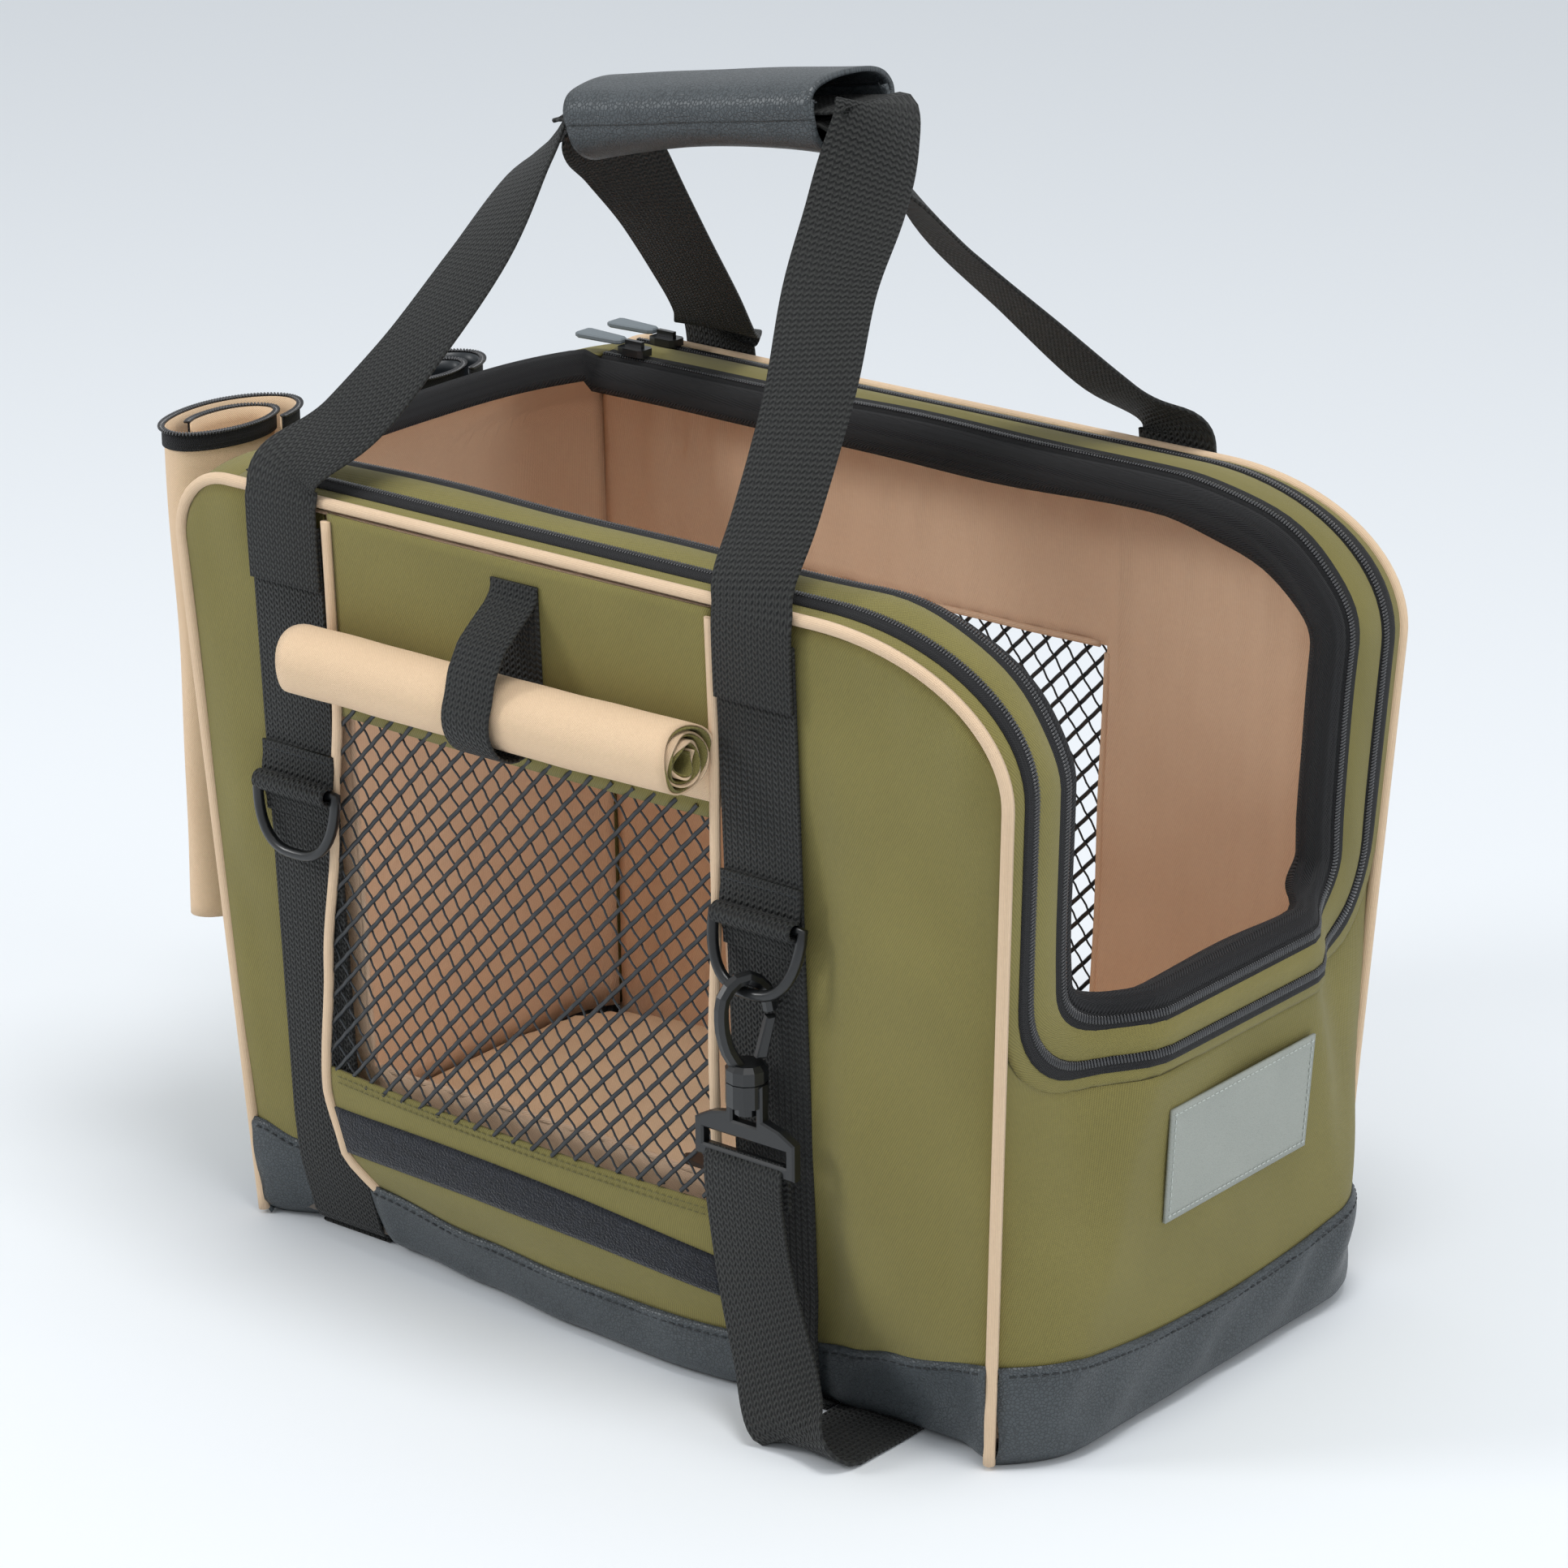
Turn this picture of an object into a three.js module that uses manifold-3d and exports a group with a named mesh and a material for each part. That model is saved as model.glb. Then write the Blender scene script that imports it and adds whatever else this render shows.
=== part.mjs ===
// Soft-sided pet carrier bag with two carry handles and a clip-on shoulder strap.
// Millimetres, +Z up. The front end, with the wide zipped opening, faces +X, and the near side
// faces -Y. The origin is the middle of the flat underside.
import * as THREE from 'three';
import { mergeVertices } from 'three/addons/utils/BufferGeometryUtils.js';
import Module from 'manifold-3d';

const wasm = await Module();
wasm.setup();
const { lerp, clamp, degToRad } = THREE.MathUtils;

// ---------------------------------------------------------------- driving dimensions
const GAP = 0.3; // left between neighbouring pieces
const HALF_LENGTH = 210; // from the middle to the piping at either end, at the top
const HALF_WIDTH = 133; // from the middle to the outside of a side panel, at the top
const HEIGHT = 328; // to the top seam
const BASE_INSET_X = 19; // how far the base is narrower than the top, at each end
const BASE_INSET_Y = 15; // and on each side
const FRONT_CORNER_X = 90; // the elliptical front corner of the side outline
const FRONT_CORNER_Z = 55;
const BACK_CORNER = 30;
const FRONT_BULGE = 24; // how far the end panels stand proud of the piping
const BACK_BULGE = 14;
const TOP_BULGE = 3;
const BULGE_EDGE = 40; // width over which the bulge falls to nothing beside the piping
const PIPING_RADIUS = 2.5;
const BOOT_TOP = 42; // top edge of the leatherette boot
const BOOT_FLOOR = 3;
const BOOT_WALL = 3;
const PANEL = 4; // padded side panel
const LINING = 2;
const GUSSET = 3; // end and border panels
const WEBBING = { width: 38, thick: 1.6 };
const STRAP_OUT = WEBBING.thick + GAP; // outer face of a body strap above the panel
const REAR_STRAP_X = -146.5;
const FRONT_STRAP_X = 93.5;
const WINDOW = { x0: -119, x1: 66, z0: 84, z1: 242 };
const RING_BAR_Z = 206;
const RING = { wire: 4.6, inner: 38.6, drop: 31, bevel: 1.3 };
const OPENING_BACK_X = -177; // where the zips and the border strips stop
const OUTER_ZIP_Y = 119; // outer zip centre line, from the middle of the bag
const INNER_ZIP_INSET = 22;
const ZIP_HALF = 5;
const LIP_CORNER = { y: 85, z: 192, r: 34 }; // corner of the opening in the front end
const LIP_SQUASH = 0.7; // the zips lie closer together along the lip
const COVER_ROLL = { radius: 16, z: 268, x0: -128, x1: 71 };
const KEEPER = { x: -24, width: 24, thick: 1.4 };
const HANDLE = { hinge: 319.6, out: 137, z: 476, tilt: degToRad(9), x: -30, length: 136 };
const HOOK_X = 92.5;
const HOOK_Y = 140.4; // swivel axis of a snap hook, from the middle of the bag
const HOOK_TURN = degToRad(60);

// ---------------------------------------------------------------- colours
const OLIVE = { color: 0x7a7342, roughness: 0.85 };
const TAN = { color: 0xe2c39a, roughness: 0.85 };
const SALMON = { color: 0xc79a78, roughness: 0.9 };
const BLACK_WEBBING = { color: 0x191b1a, roughness: 0.8 };
const LEATHERETTE = { color: 0x2c3236, roughness: 0.6 };
const LABEL = { color: 0x9ca59c, roughness: 0.6 };
const BLACK_PLASTIC = { color: 0x141618, roughness: 0.4 };
const BLACK_TAPE = { color: 0x17181b, roughness: 0.85 };
const RUBBER = { color: 0x6b7276, roughness: 0.7 };
const BOARD = { color: 0x5b5148, roughness: 0.9 };

const bag = new THREE.Group();

function add(name, geometry, look, parent = bag) {
  const mesh = new THREE.Mesh(geometry, new THREE.MeshStandardMaterial({ metalness: 0, ...look }));
  mesh.name = name;
  parent.add(mesh);
  return mesh;
}

// ---------------------------------------------------------------- mesh helpers
function signedVolume(points, faces) {
  let sum = 0;
  for (const [a, b, c] of faces) {
    const [p, q, r] = [points[a], points[b], points[c]];
    sum += p[0] * (q[1] * r[2] - q[2] * r[1]) - p[1] * (q[0] * r[2] - q[2] * r[0])
      + p[2] * (q[0] * r[1] - q[1] * r[0]);
  }
  return sum;
}

// A closed mesh from points and triangles, with its faces turned outward.
function solid(points, faces) {
  const outward = signedVolume(points, faces) > 0;
  const geometry = new THREE.BufferGeometry();
  geometry.setAttribute('position', new THREE.Float32BufferAttribute(points.flat(), 3));
  geometry.setIndex(faces.map(([a, b, c]) => (outward ? [a, b, c] : [a, c, b])).flat());
  return geometry;
}

// Moves every vertex of a geometry and keeps its faces pointing outward.
function reshape(geometry, move) {
  const shape = geometry.clone();
  shape.deleteAttribute('normal');
  shape.deleteAttribute('uv');
  const merged = mergeVertices(shape, 1e-4);
  const position = merged.attributes.position;
  const points = [];
  for (let i = 0; i < position.count; i += 1) {
    points.push(move(position.getX(i), position.getY(i), position.getZ(i)));
  }
  const index = merged.index.array;
  const faces = [];
  for (let i = 0; i < index.length; i += 3) faces.push([index[i], index[i + 1], index[i + 2]]);
  return solid(points, faces);
}

// A sheet between two depths of surface(u, v, depth), closed by rims.
function skin(surface, us, vs, depth0, depth1) {
  const points = [];
  for (const depth of [depth0, depth1]) {
    for (const u of us) for (const v of vs) points.push(surface(u, v, depth));
  }
  const half = us.length * vs.length;
  const at = (i, j, k) => k * half + i * vs.length + j;
  const faces = [];
  const quad = (a, b, c, d) => faces.push([a, b, c], [a, c, d]);
  for (let i = 0; i + 1 < us.length; i += 1) {
    for (let j = 0; j + 1 < vs.length; j += 1) {
      quad(at(i, j, 0), at(i, j + 1, 0), at(i + 1, j + 1, 0), at(i + 1, j, 0));
      quad(at(i, j, 1), at(i + 1, j, 1), at(i + 1, j + 1, 1), at(i, j + 1, 1));
    }
    const last = vs.length - 1;
    quad(at(i, 0, 0), at(i + 1, 0, 0), at(i + 1, 0, 1), at(i, 0, 1));
    quad(at(i, last, 0), at(i, last, 1), at(i + 1, last, 1), at(i + 1, last, 0));
  }
  for (let j = 0; j + 1 < vs.length; j += 1) {
    const last = us.length - 1;
    quad(at(0, j, 0), at(0, j, 1), at(0, j + 1, 1), at(0, j + 1, 0));
    quad(at(last, j, 0), at(last, j + 1, 0), at(last, j + 1, 1), at(last, j, 1));
  }
  return solid(points, faces);
}

// A solid through convex rings of points, with flat ends.
function loft(rings) {
  const sides = rings[0].length;
  const points = rings.flat();
  const faces = [];
  for (let i = 0; i + 1 < rings.length; i += 1) {
    for (let j = 0; j < sides; j += 1) {
      const [a, b] = [i * sides + j, i * sides + ((j + 1) % sides)];
      faces.push([a, b, b + sides], [a, b + sides, a + sides]);
    }
  }
  const end = (rings.length - 1) * sides;
  for (let j = 1; j + 1 < sides; j += 1) {
    faces.push([0, j + 1, j], [end, end + j, end + j + 1]);
  }
  return solid(points, faces);
}

function toManifold(geometry) {
  const plain = reshape(geometry, (x, y, z) => [x, y, z]);
  return new wasm.Manifold(new wasm.Mesh({
    numProp: 3,
    vertProperties: new Float32Array(plain.attributes.position.array),
    triVerts: new Uint32Array(plain.index.array),
  }));
}

function fromManifold(manifold) {
  const mesh = manifold.getMesh();
  const geometry = new THREE.BufferGeometry();
  geometry.setAttribute('position', new THREE.BufferAttribute(mesh.vertProperties, 3));
  geometry.setIndex(new THREE.BufferAttribute(mesh.triVerts, 1));
  return geometry;
}

const cut = (base, ...tools) => fromManifold(
  tools.reduce((rest, tool) => rest.subtract(toManifold(tool)), toManifold(base)),
);

const join = (base, ...others) => fromManifold(
  others.reduce((sum, other) => sum.add(toManifold(other)), toManifold(base)),
);

function block(x0, x1, y0, y1, z0, z1) {
  const box = new THREE.BoxGeometry(x1 - x0, y1 - y0, z1 - z0);
  return box.translate((x0 + x1) / 2, (y0 + y1) / 2, (z0 + z1) / 2);
}

// A shape with its outline turned anticlockwise, as holes need.
function shapeOf(outer, ...holes) {
  const turns = outer.reduce((sum, [x, y], i) => {
    const [x1, y1] = outer[(i + 1) % outer.length];
    return sum + x * y1 - x1 * y;
  }, 0);
  const points = turns > 0 ? outer : [...outer].reverse();
  const shape = new THREE.Shape(points.map(([x, y]) => new THREE.Vector2(x, y)));
  for (const hole of holes) {
    shape.holes.push(new THREE.Path(hole.map(([x, y]) => new THREE.Vector2(x, y))));
  }
  return shape;
}

const rectangle = (x0, x1, y0, y1) => [[x0, y0], [x1, y0], [x1, y1], [x0, y1]];

const flat = (shape, depth, bevel = 0) => new THREE.ExtrudeGeometry(shape, {
  depth: depth - 2 * bevel,
  bevelEnabled: bevel > 0,
  bevelThickness: bevel,
  bevelSize: bevel,
  bevelOffset: -bevel,
  bevelSegments: 1,
  steps: 1,
  curveSegments: 6,
}).translate(0, 0, bevel - depth / 2);

// ---------------------------------------------------------------- the body's surfaces
const halfWidthAt = (z) => HALF_WIDTH - BASE_INSET_Y * (1 - z / HEIGHT);

function taper(x, y, z) {
  const low = 1 - z / HEIGHT;
  return [x * (1 - (BASE_INSET_X / HALF_LENGTH) * low), y * (1 - (BASE_INSET_Y / HALF_WIDTH) * low), z];
}

// The side outline, from the front of the base (0) up the front end (1), round the front corner
// (2), back along the top (3), round the back corner (4) and down the back end (5).
function outline(s) {
  const stage = Math.min(Math.floor(s), 4);
  const t = s - stage;
  const corner = (cx, cz, a, b, angle) => {
    const [nx, nz] = [Math.cos(angle) / a, Math.sin(angle) / b];
    const n = Math.hypot(nx, nz);
    return { x: cx + a * Math.cos(angle), z: cz + b * Math.sin(angle), nx: nx / n, nz: nz / n };
  };
  const frontX = HALF_LENGTH - FRONT_CORNER_X;
  const backX = BACK_CORNER - HALF_LENGTH;
  if (stage === 0) return { x: HALF_LENGTH, z: lerp(0, HEIGHT - FRONT_CORNER_Z, t), nx: 1, nz: 0 };
  if (stage === 1) {
    return corner(frontX, HEIGHT - FRONT_CORNER_Z, FRONT_CORNER_X, FRONT_CORNER_Z, t * Math.PI / 2);
  }
  if (stage === 2) return { x: lerp(frontX, backX, t), z: HEIGHT, nx: 0, nz: 1 };
  if (stage === 3) {
    return corner(backX, HEIGHT - BACK_CORNER, BACK_CORNER, BACK_CORNER, (1 + t) * Math.PI / 2);
  }
  return { x: -HALF_LENGTH, z: lerp(HEIGHT - BACK_CORNER, 0, t), nx: -1, nz: 0 };
}

const frontStation = (z) => z / (HEIGHT - FRONT_CORNER_Z);
const backStation = (z) => 5 - z / (HEIGHT - BACK_CORNER);
const topStation = (x) => 2 + (HALF_LENGTH - FRONT_CORNER_X - x)
  / (2 * HALF_LENGTH - FRONT_CORNER_X - BACK_CORNER);

// Stations from s0 to s1, closer together round the corners.
function stations(s0, s1) {
  const list = [s0];
  for (let k = 6; k <= 24; k += 1) {
    const s = k / 6;
    const inCorner = s % 2 >= 1 || s % 2 === 0;
    if (inCorner && s > s0 + 0.02 && s < s1 - 0.02) list.push(s);
  }
  list.push(s1);
  return list;
}

// A point of the end and border panels, at width y and at a depth below their outer face.
function gusset(s, y, depth) {
  const p = outline(s);
  const edge = Math.max(0, (Math.abs(y) - (HALF_WIDTH - BULGE_EDGE)) / BULGE_EDGE);
  const full = (p.nx > 0 ? FRONT_BULGE : BACK_BULGE) * p.nx ** 2 + TOP_BULGE * p.nz ** 2;
  const out = full * (1 - edge ** 2) - depth;
  return taper(p.x + p.nx * out, y, p.z + p.nz * out);
}

// A flat piece on a side wall: a shape in X and Z, between two depths below the panel's face.
function wallPiece(side, shape, depth0, depth1) {
  const plate = flat(shape, depth1 - depth0).translate(0, 0, (depth0 + depth1) / 2);
  return reshape(plate, (x, z, depth) => [x, side * (halfWidthAt(z) - depth), z]);
}

// The side outline as points in X and Z, set in by some distance, from z upward.
function sideOutline(inset, z) {
  const points = stations(frontStation(z), backStation(z)).map((s) => {
    const p = outline(s);
    const [x, , height] = taper(p.x - p.nx * inset, 0, p.z - p.nz * inset);
    return [x, height];
  });
  return points;
}

const GUSSET_EDGE = HALF_WIDTH - PIPING_RADIUS - 0.5;
const PANEL_INSET = PIPING_RADIUS + 0.9;
const FULL_WIDTH = [-GUSSET_EDGE, -118, -106, -93, 0, 93, 106, 118, GUSSET_EDGE];
const WALL_BASE = BOOT_TOP + GAP;

// ---------------------------------------------------------------- base
function planOutline(sideY, endX, notch) {
  const points = [];
  for (const end of [1, -1]) {
    const bulge = end > 0 ? FRONT_BULGE : BACK_BULGE;
    for (const y of (end > 0 ? FULL_WIDTH : [...FULL_WIDTH].reverse())) {
      const inner = clamp(y, -sideY, sideY);
      const edge = Math.max(0, (Math.abs(y) - (HALF_WIDTH - BULGE_EDGE)) / BULGE_EDGE);
      points.push([end * (endX + bulge * (1 - edge ** 2)), inner]);
    }
    if (notch) {
      points.push([end * (endX - PANEL_INSET), end * GUSSET_EDGE]);
      points.push([end * (endX - PANEL_INSET), end * HALF_WIDTH]);
      points.push([-end * (endX - PANEL_INSET), end * HALF_WIDTH]);
      points.push([-end * (endX - PANEL_INSET), end * GUSSET_EDGE]);
    }
  }
  return points;
}

function planSolid(points, z0, z1) {
  const prism = flat(shapeOf(points), z1 - z0).translate(0, 0, (z0 + z1) / 2);
  return reshape(prism, taper);
}

const CAVITY_Y = GUSSET_EDGE - BOOT_WALL;
const cavityOutline = planOutline(CAVITY_Y, HALF_LENGTH - BOOT_WALL, false);
const SHOULDER_X = 134; // where the shoulder strap crosses under the bag
const GROOVE_DEPTH = WEBBING.thick + 3 * GAP;
const GROOVE_HALF = WEBBING.width / 2 + GAP;
const underStraps = [REAR_STRAP_X, (FRONT_STRAP_X + SHOULDER_X) / 2];
const grooves = underStraps.map((x, i) => {
  const half = GROOVE_HALF + i * (SHOULDER_X - FRONT_STRAP_X) / 2;
  return block(x - half, x + half, -200, 200, -1, GROOVE_DEPTH);
});
add('base_boot', cut(
  planSolid(planOutline(GUSSET_EDGE, HALF_LENGTH, true), 0, BOOT_TOP),
  planSolid(cavityOutline, BOOT_FLOOR + GROOVE_DEPTH, BOOT_TOP + 5),
  ...grooves,
), LEATHERETTE);

const shrink = (points, by) => points.map(([x, y]) => [x - Math.sign(x) * by, y - Math.sign(y) * by]);
const BOARD_Z = BOOT_FLOOR + GROOVE_DEPTH + GAP;
const BOARD_THICK = 3;
const boardShape = shrink(cavityOutline.filter(([, y]) => y !== 0), 1.5);
add('base_board', planSolid(boardShape, BOARD_Z, BOARD_Z + BOARD_THICK), BOARD);
const CUSHION_Z = BOARD_Z + BOARD_THICK + GAP;
const CUSHION_TOP = 34;
add('floor_cushion', planSolid(shrink(boardShape, 6), CUSHION_Z, CUSHION_TOP), SALMON);

// ---------------------------------------------------------------- side walls
const windowHole = rectangle(WINDOW.x0, WINDOW.x1, WINDOW.z0, WINDOW.z1);
const windowSheet = rectangle(
  WINDOW.x0 + GAP, WINDOW.x1 - GAP, WINDOW.z0 + GAP, WINDOW.z1 - GAP,
);
const sides = [['near', -1], ['far', 1]];
const panelShape = shapeOf(sideOutline(PANEL_INSET, WALL_BASE), windowHole);
const liningShape = shapeOf(sideOutline(PANEL_INSET + GUSSET + LINING, WALL_BASE), windowHole);
for (const [name, side] of sides) {
  add(`${name}_side_panel`, wallPiece(side, panelShape, 0, PANEL), OLIVE);
  const lining = wallPiece(side, liningShape, PANEL + GAP, PANEL + GAP + LINING);
  add(`${name}_lining`, lining, SALMON);
  add(`${name}_window_mesh`, wallPiece(side, shapeOf(windowSheet), 1.4, 2.6), BLACK_PLASTIC);
  const hookStrip = rectangle(WINDOW.x0 + 2, WINDOW.x1 + 2, 47, 62);
  add(`${name}_hook_strip`, wallPiece(side, shapeOf(hookStrip), -GAP - 1.2, -GAP), BLACK_TAPE);
}

// Piping round each side panel, down to the underside.
function piping(side) {
  const rings = stations(frontStation(GAP), backStation(GAP)).map((s) => {
    const p = outline(s);
    return Array.from({ length: 8 }, (_, k) => {
      const angle = (k + 0.5) * Math.PI / 4;
      const [out, across] = [PIPING_RADIUS * Math.cos(angle), PIPING_RADIUS * Math.sin(angle)];
      return taper(p.x + p.nx * out, side * HALF_WIDTH + across, p.z + p.nz * out);
    });
  });
  return loft(rings);
}
for (const [name, side] of sides) add(`${name}_piping`, piping(side), TAN);

// ---------------------------------------------------------------- end panels and border strips
const LIP_EDGE = 30; // from the outer zip's centre line to the bound edge of the opening
const BORDER_INNER = OUTER_ZIP_Y - LIP_EDGE;
const LIP_TOP = LIP_CORNER.z - (LIP_CORNER.r - LIP_EDGE * LIP_SQUASH);
const frontRow = (t, y, depth) => {
  const across = clamp((Math.abs(y) - LIP_CORNER.y) / (BORDER_INNER - LIP_CORNER.y), 0, 1);
  const top = LIP_CORNER.z - (LIP_CORNER.z - LIP_TOP) * Math.sqrt(1 - across ** 2);
  return gusset(frontStation(lerp(WALL_BASE, top, t)), y, depth);
};
const mirrored = (ys) => [...ys.map((y) => -y), 0, ...[...ys].reverse()];
const frontYs = mirrored([
  GUSSET_EDGE, 118, 106, BORDER_INNER, lerp(LIP_CORNER.y, BORDER_INNER, 0.7), LIP_CORNER.y,
]);
add('front_end_panel', skin(frontRow, [0, 1], frontYs, 0, GUSSET), OLIVE);
const frontLiningYs = mirrored([HALF_WIDTH - PANEL - LINING - 3 * GAP - 4, 118, 106, 93]);
const liningRow = (t, y, depth) => gusset(frontStation(lerp(WALL_BASE, LIP_TOP - 2, t)), y, depth);
const LINING_IN = GUSSET + 1;
add('front_lining', skin(liningRow, [0, 1], frontLiningYs, LINING_IN, LINING_IN + LINING), SALMON);

const backStations = stations(topStation(OPENING_BACK_X) + 0.01, backStation(WALL_BASE));
add('back_end_panel', skin(gusset, backStations, FULL_WIDTH, 0, GUSSET), OLIVE);
const backLiningStations = stations(3.5, backStation(WALL_BASE));
add('back_lining', skin(
  gusset, backLiningStations, frontLiningYs, LINING_IN, LINING_IN + LINING,
), SALMON);

const borderStations = stations(frontStation(LIP_CORNER.z + GAP), topStation(OPENING_BACK_X));
for (const [name, side] of sides) {
  const ys = [GUSSET_EDGE, 118, 106, BORDER_INNER].map((y) => side * y);
  add(`${name}_border_strip`, skin(gusset, borderStations, ys, 0, GUSSET), OLIVE);
}

// The U-shaped run of the opening, as stations and widths, at some inset from the outer zip.
function openingRun(inset) {
  const side = OUTER_ZIP_Y - inset;
  const ry = Math.max(LIP_CORNER.r - inset, 1);
  const rz = Math.max(LIP_CORNER.r - LIP_SQUASH * inset, 1);
  const cornerY = side - ry;
  const half = borderStations.slice(1).reverse().map((s) => [s, side]);
  for (let k = 0; k <= 6; k += 1) {
    const angle = k * Math.PI / 12;
    const z = LIP_CORNER.z - rz * Math.sin(angle);
    half.push([frontStation(z), cornerY + ry * Math.cos(angle)]);
  }
  return [...half, ...half.map(([s, y]) => [s, -y]).reverse()];
}

function openingTape(inset0, inset1, depth0, depth1) {
  const runs = [inset0, (inset0 + inset1) / 2, inset1].map(openingRun);
  const steps = runs[0].map((_, i) => i);
  return skin((i, j, depth) => gusset(...runs[j][i], depth), steps, [0, 1, 2], depth0, depth1);
}

const TAPE = { low: 0.6, high: 1.9 }; // faces of the zip tapes above the border panels
add('outer_zip_tape', openingTape(-ZIP_HALF, ZIP_HALF, -TAPE.high, -TAPE.low), BLACK_TAPE);
add('inner_zip_tape', openingTape(
  INNER_ZIP_INSET - ZIP_HALF, INNER_ZIP_INSET + ZIP_HALF, -TAPE.high, -TAPE.low,
), BLACK_TAPE);
add('opening_binding', openingTape(LIP_EDGE + 1.3, LIP_EDGE + 5.3, -0.8, GUSSET + 0.8), BLACK_TAPE);

// Zip sliders, parked at the back of the far side, each with its pull.
const ZIP_TOP = HEIGHT + TOP_BULGE + TAPE.high;
function zipSlider(y) {
  const bodyShape = shapeOf([
    [-7, -3], [-3, -4.5], [5, -4.5], [7, -3], [7, 3], [5, 4.5], [-3, 4.5], [-7, 3],
  ]);
  const body = flat(bodyShape, 3.2).translate(0, 0, ZIP_TOP + GAP + 1.6);
  const bridge = block(-4.5, 4.5, -1.1, 1.1, ZIP_TOP + GAP + 3, ZIP_TOP + GAP + 6);
  return join(body, bridge).translate(OPENING_BACK_X + 16, y, 0);
}
function zipPull(y) {
  const tab = shapeOf([
    [-30, -4], [-28, -5], [-8, -3.5], [-6, -2], [-6, 2], [-8, 3.5], [-28, 5], [-30, 4],
  ]);
  return flat(tab, 2.4, 0.6).translate(OPENING_BACK_X + 16, y, ZIP_TOP + GAP + 4.8);
}
const sliders = [['outer', OUTER_ZIP_Y - 2], ['inner', OUTER_ZIP_Y - INNER_ZIP_INSET - 1]];
for (const [name, y] of sliders) {
  add(`${name}_zip_slider`, zipSlider(y), BLACK_PLASTIC);
  add(`${name}_zip_pull`, zipPull(y), RUBBER);
}

// ---------------------------------------------------------------- body straps
// One band runs down a side, under the base and up the other side.
const STRAP_TOP = 318;
function bodyStrap() {
  const out = (z, by) => halfWidthAt(z) + by;
  const under = GROOVE_DEPTH - GAP;
  const outer = [
    [-out(STRAP_TOP, STRAP_OUT), STRAP_TOP], [-out(0, STRAP_OUT), GAP],
    [out(0, STRAP_OUT), GAP], [out(STRAP_TOP, STRAP_OUT), STRAP_TOP],
  ];
  const inner = [
    [out(STRAP_TOP, GAP), STRAP_TOP], [out(under, GAP), under],
    [-out(under, GAP), under], [-out(STRAP_TOP, GAP), STRAP_TOP],
  ];
  return flat(shapeOf([...outer, ...inner]), WEBBING.width);
}
const strapPlaces = [['rear', REAR_STRAP_X], ['front', FRONT_STRAP_X]];
const alongX = (geometry) => reshape(geometry, (y, z, x) => [x, y, z]);
for (const [name, x] of strapPlaces) {
  add(`${name}_body_strap`, alongX(bodyStrap()), BLACK_WEBBING).position.set(x, 0, 0);
}

// ---------------------------------------------------------------- D-rings and their keepers
const KEEPER_LOOP = RING.wire / 2 + 0.5; // inside radius of the webbing loop round the bar
const ringY = halfWidthAt(RING_BAR_Z) + STRAP_OUT + GAP + WEBBING.thick + KEEPER_LOOP;

function ringKeeper() {
  const loop = KEEPER_LOOP + WEBBING.thick;
  const back = -loop;
  const plate = [[back, 34], [back + 2 * WEBBING.thick, 34], [back + 2 * WEBBING.thick, 8]];
  const points = [...plate];
  for (let k = 1; k <= 8; k += 1) {
    const angle = degToRad(70 - k * 250 / 8);
    points.push([loop * Math.cos(angle), loop * Math.sin(angle)]);
  }
  const hole = Array.from({ length: 8 }, (_, k) => {
    const angle = (k + 0.5) * Math.PI / 4;
    const r = KEEPER_LOOP / Math.cos(Math.PI / 8);
    return [r * Math.cos(angle), r * Math.sin(angle)];
  });
  return flat(shapeOf(points, hole), WEBBING.width - 1.4);
}

function ringShape() {
  const { wire, inner, drop } = RING;
  const arc = (r, low, top) => {
    const points = [[r, top]];
    for (let k = 0; k <= 10; k += 1) {
      const angle = -k * Math.PI / 10;
      points.push([r * Math.cos(angle), low * 0.35 + low * 0.65 * -Math.sin(angle)]);
    }
    points.push([-r, top]);
    return points;
  };
  const outer = arc(inner / 2 + wire, -drop - wire / 2, wire / 2);
  const hole = arc(inner / 2, -drop + wire / 2, -wire / 2);
  return shapeOf(outer, hole);
}

const FRONT_RING_TILT = degToRad(12); // a clipped hook holds its ring off the strap
const WALL_TILT = Math.atan(BASE_INSET_Y / HEIGHT);
const uprightX = (geometry) => reshape(geometry, (x, z, y) => [x, y, z]);
for (const [name, side] of sides) {
  for (const [end, x] of strapPlaces) {
    const place = new THREE.Group();
    place.position.set(x, side * ringY, RING_BAR_Z);
    place.rotation.x = -side * WALL_TILT;
    bag.add(place);
    const keeper = reshape(ringKeeper(), (out, z, across) => [across, side * out, z]);
    add(`${name}_${end}_ring_keeper`, keeper, BLACK_WEBBING, place);
    const wire = uprightX(flat(ringShape(), RING.wire, RING.bevel));
    const ring = add(`${name}_${end}_d_ring`, wire, BLACK_PLASTIC, place);
    ring.rotation.x = side * (WALL_TILT + (end === 'front' ? FRONT_RING_TILT : 0));
  }
}

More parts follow.
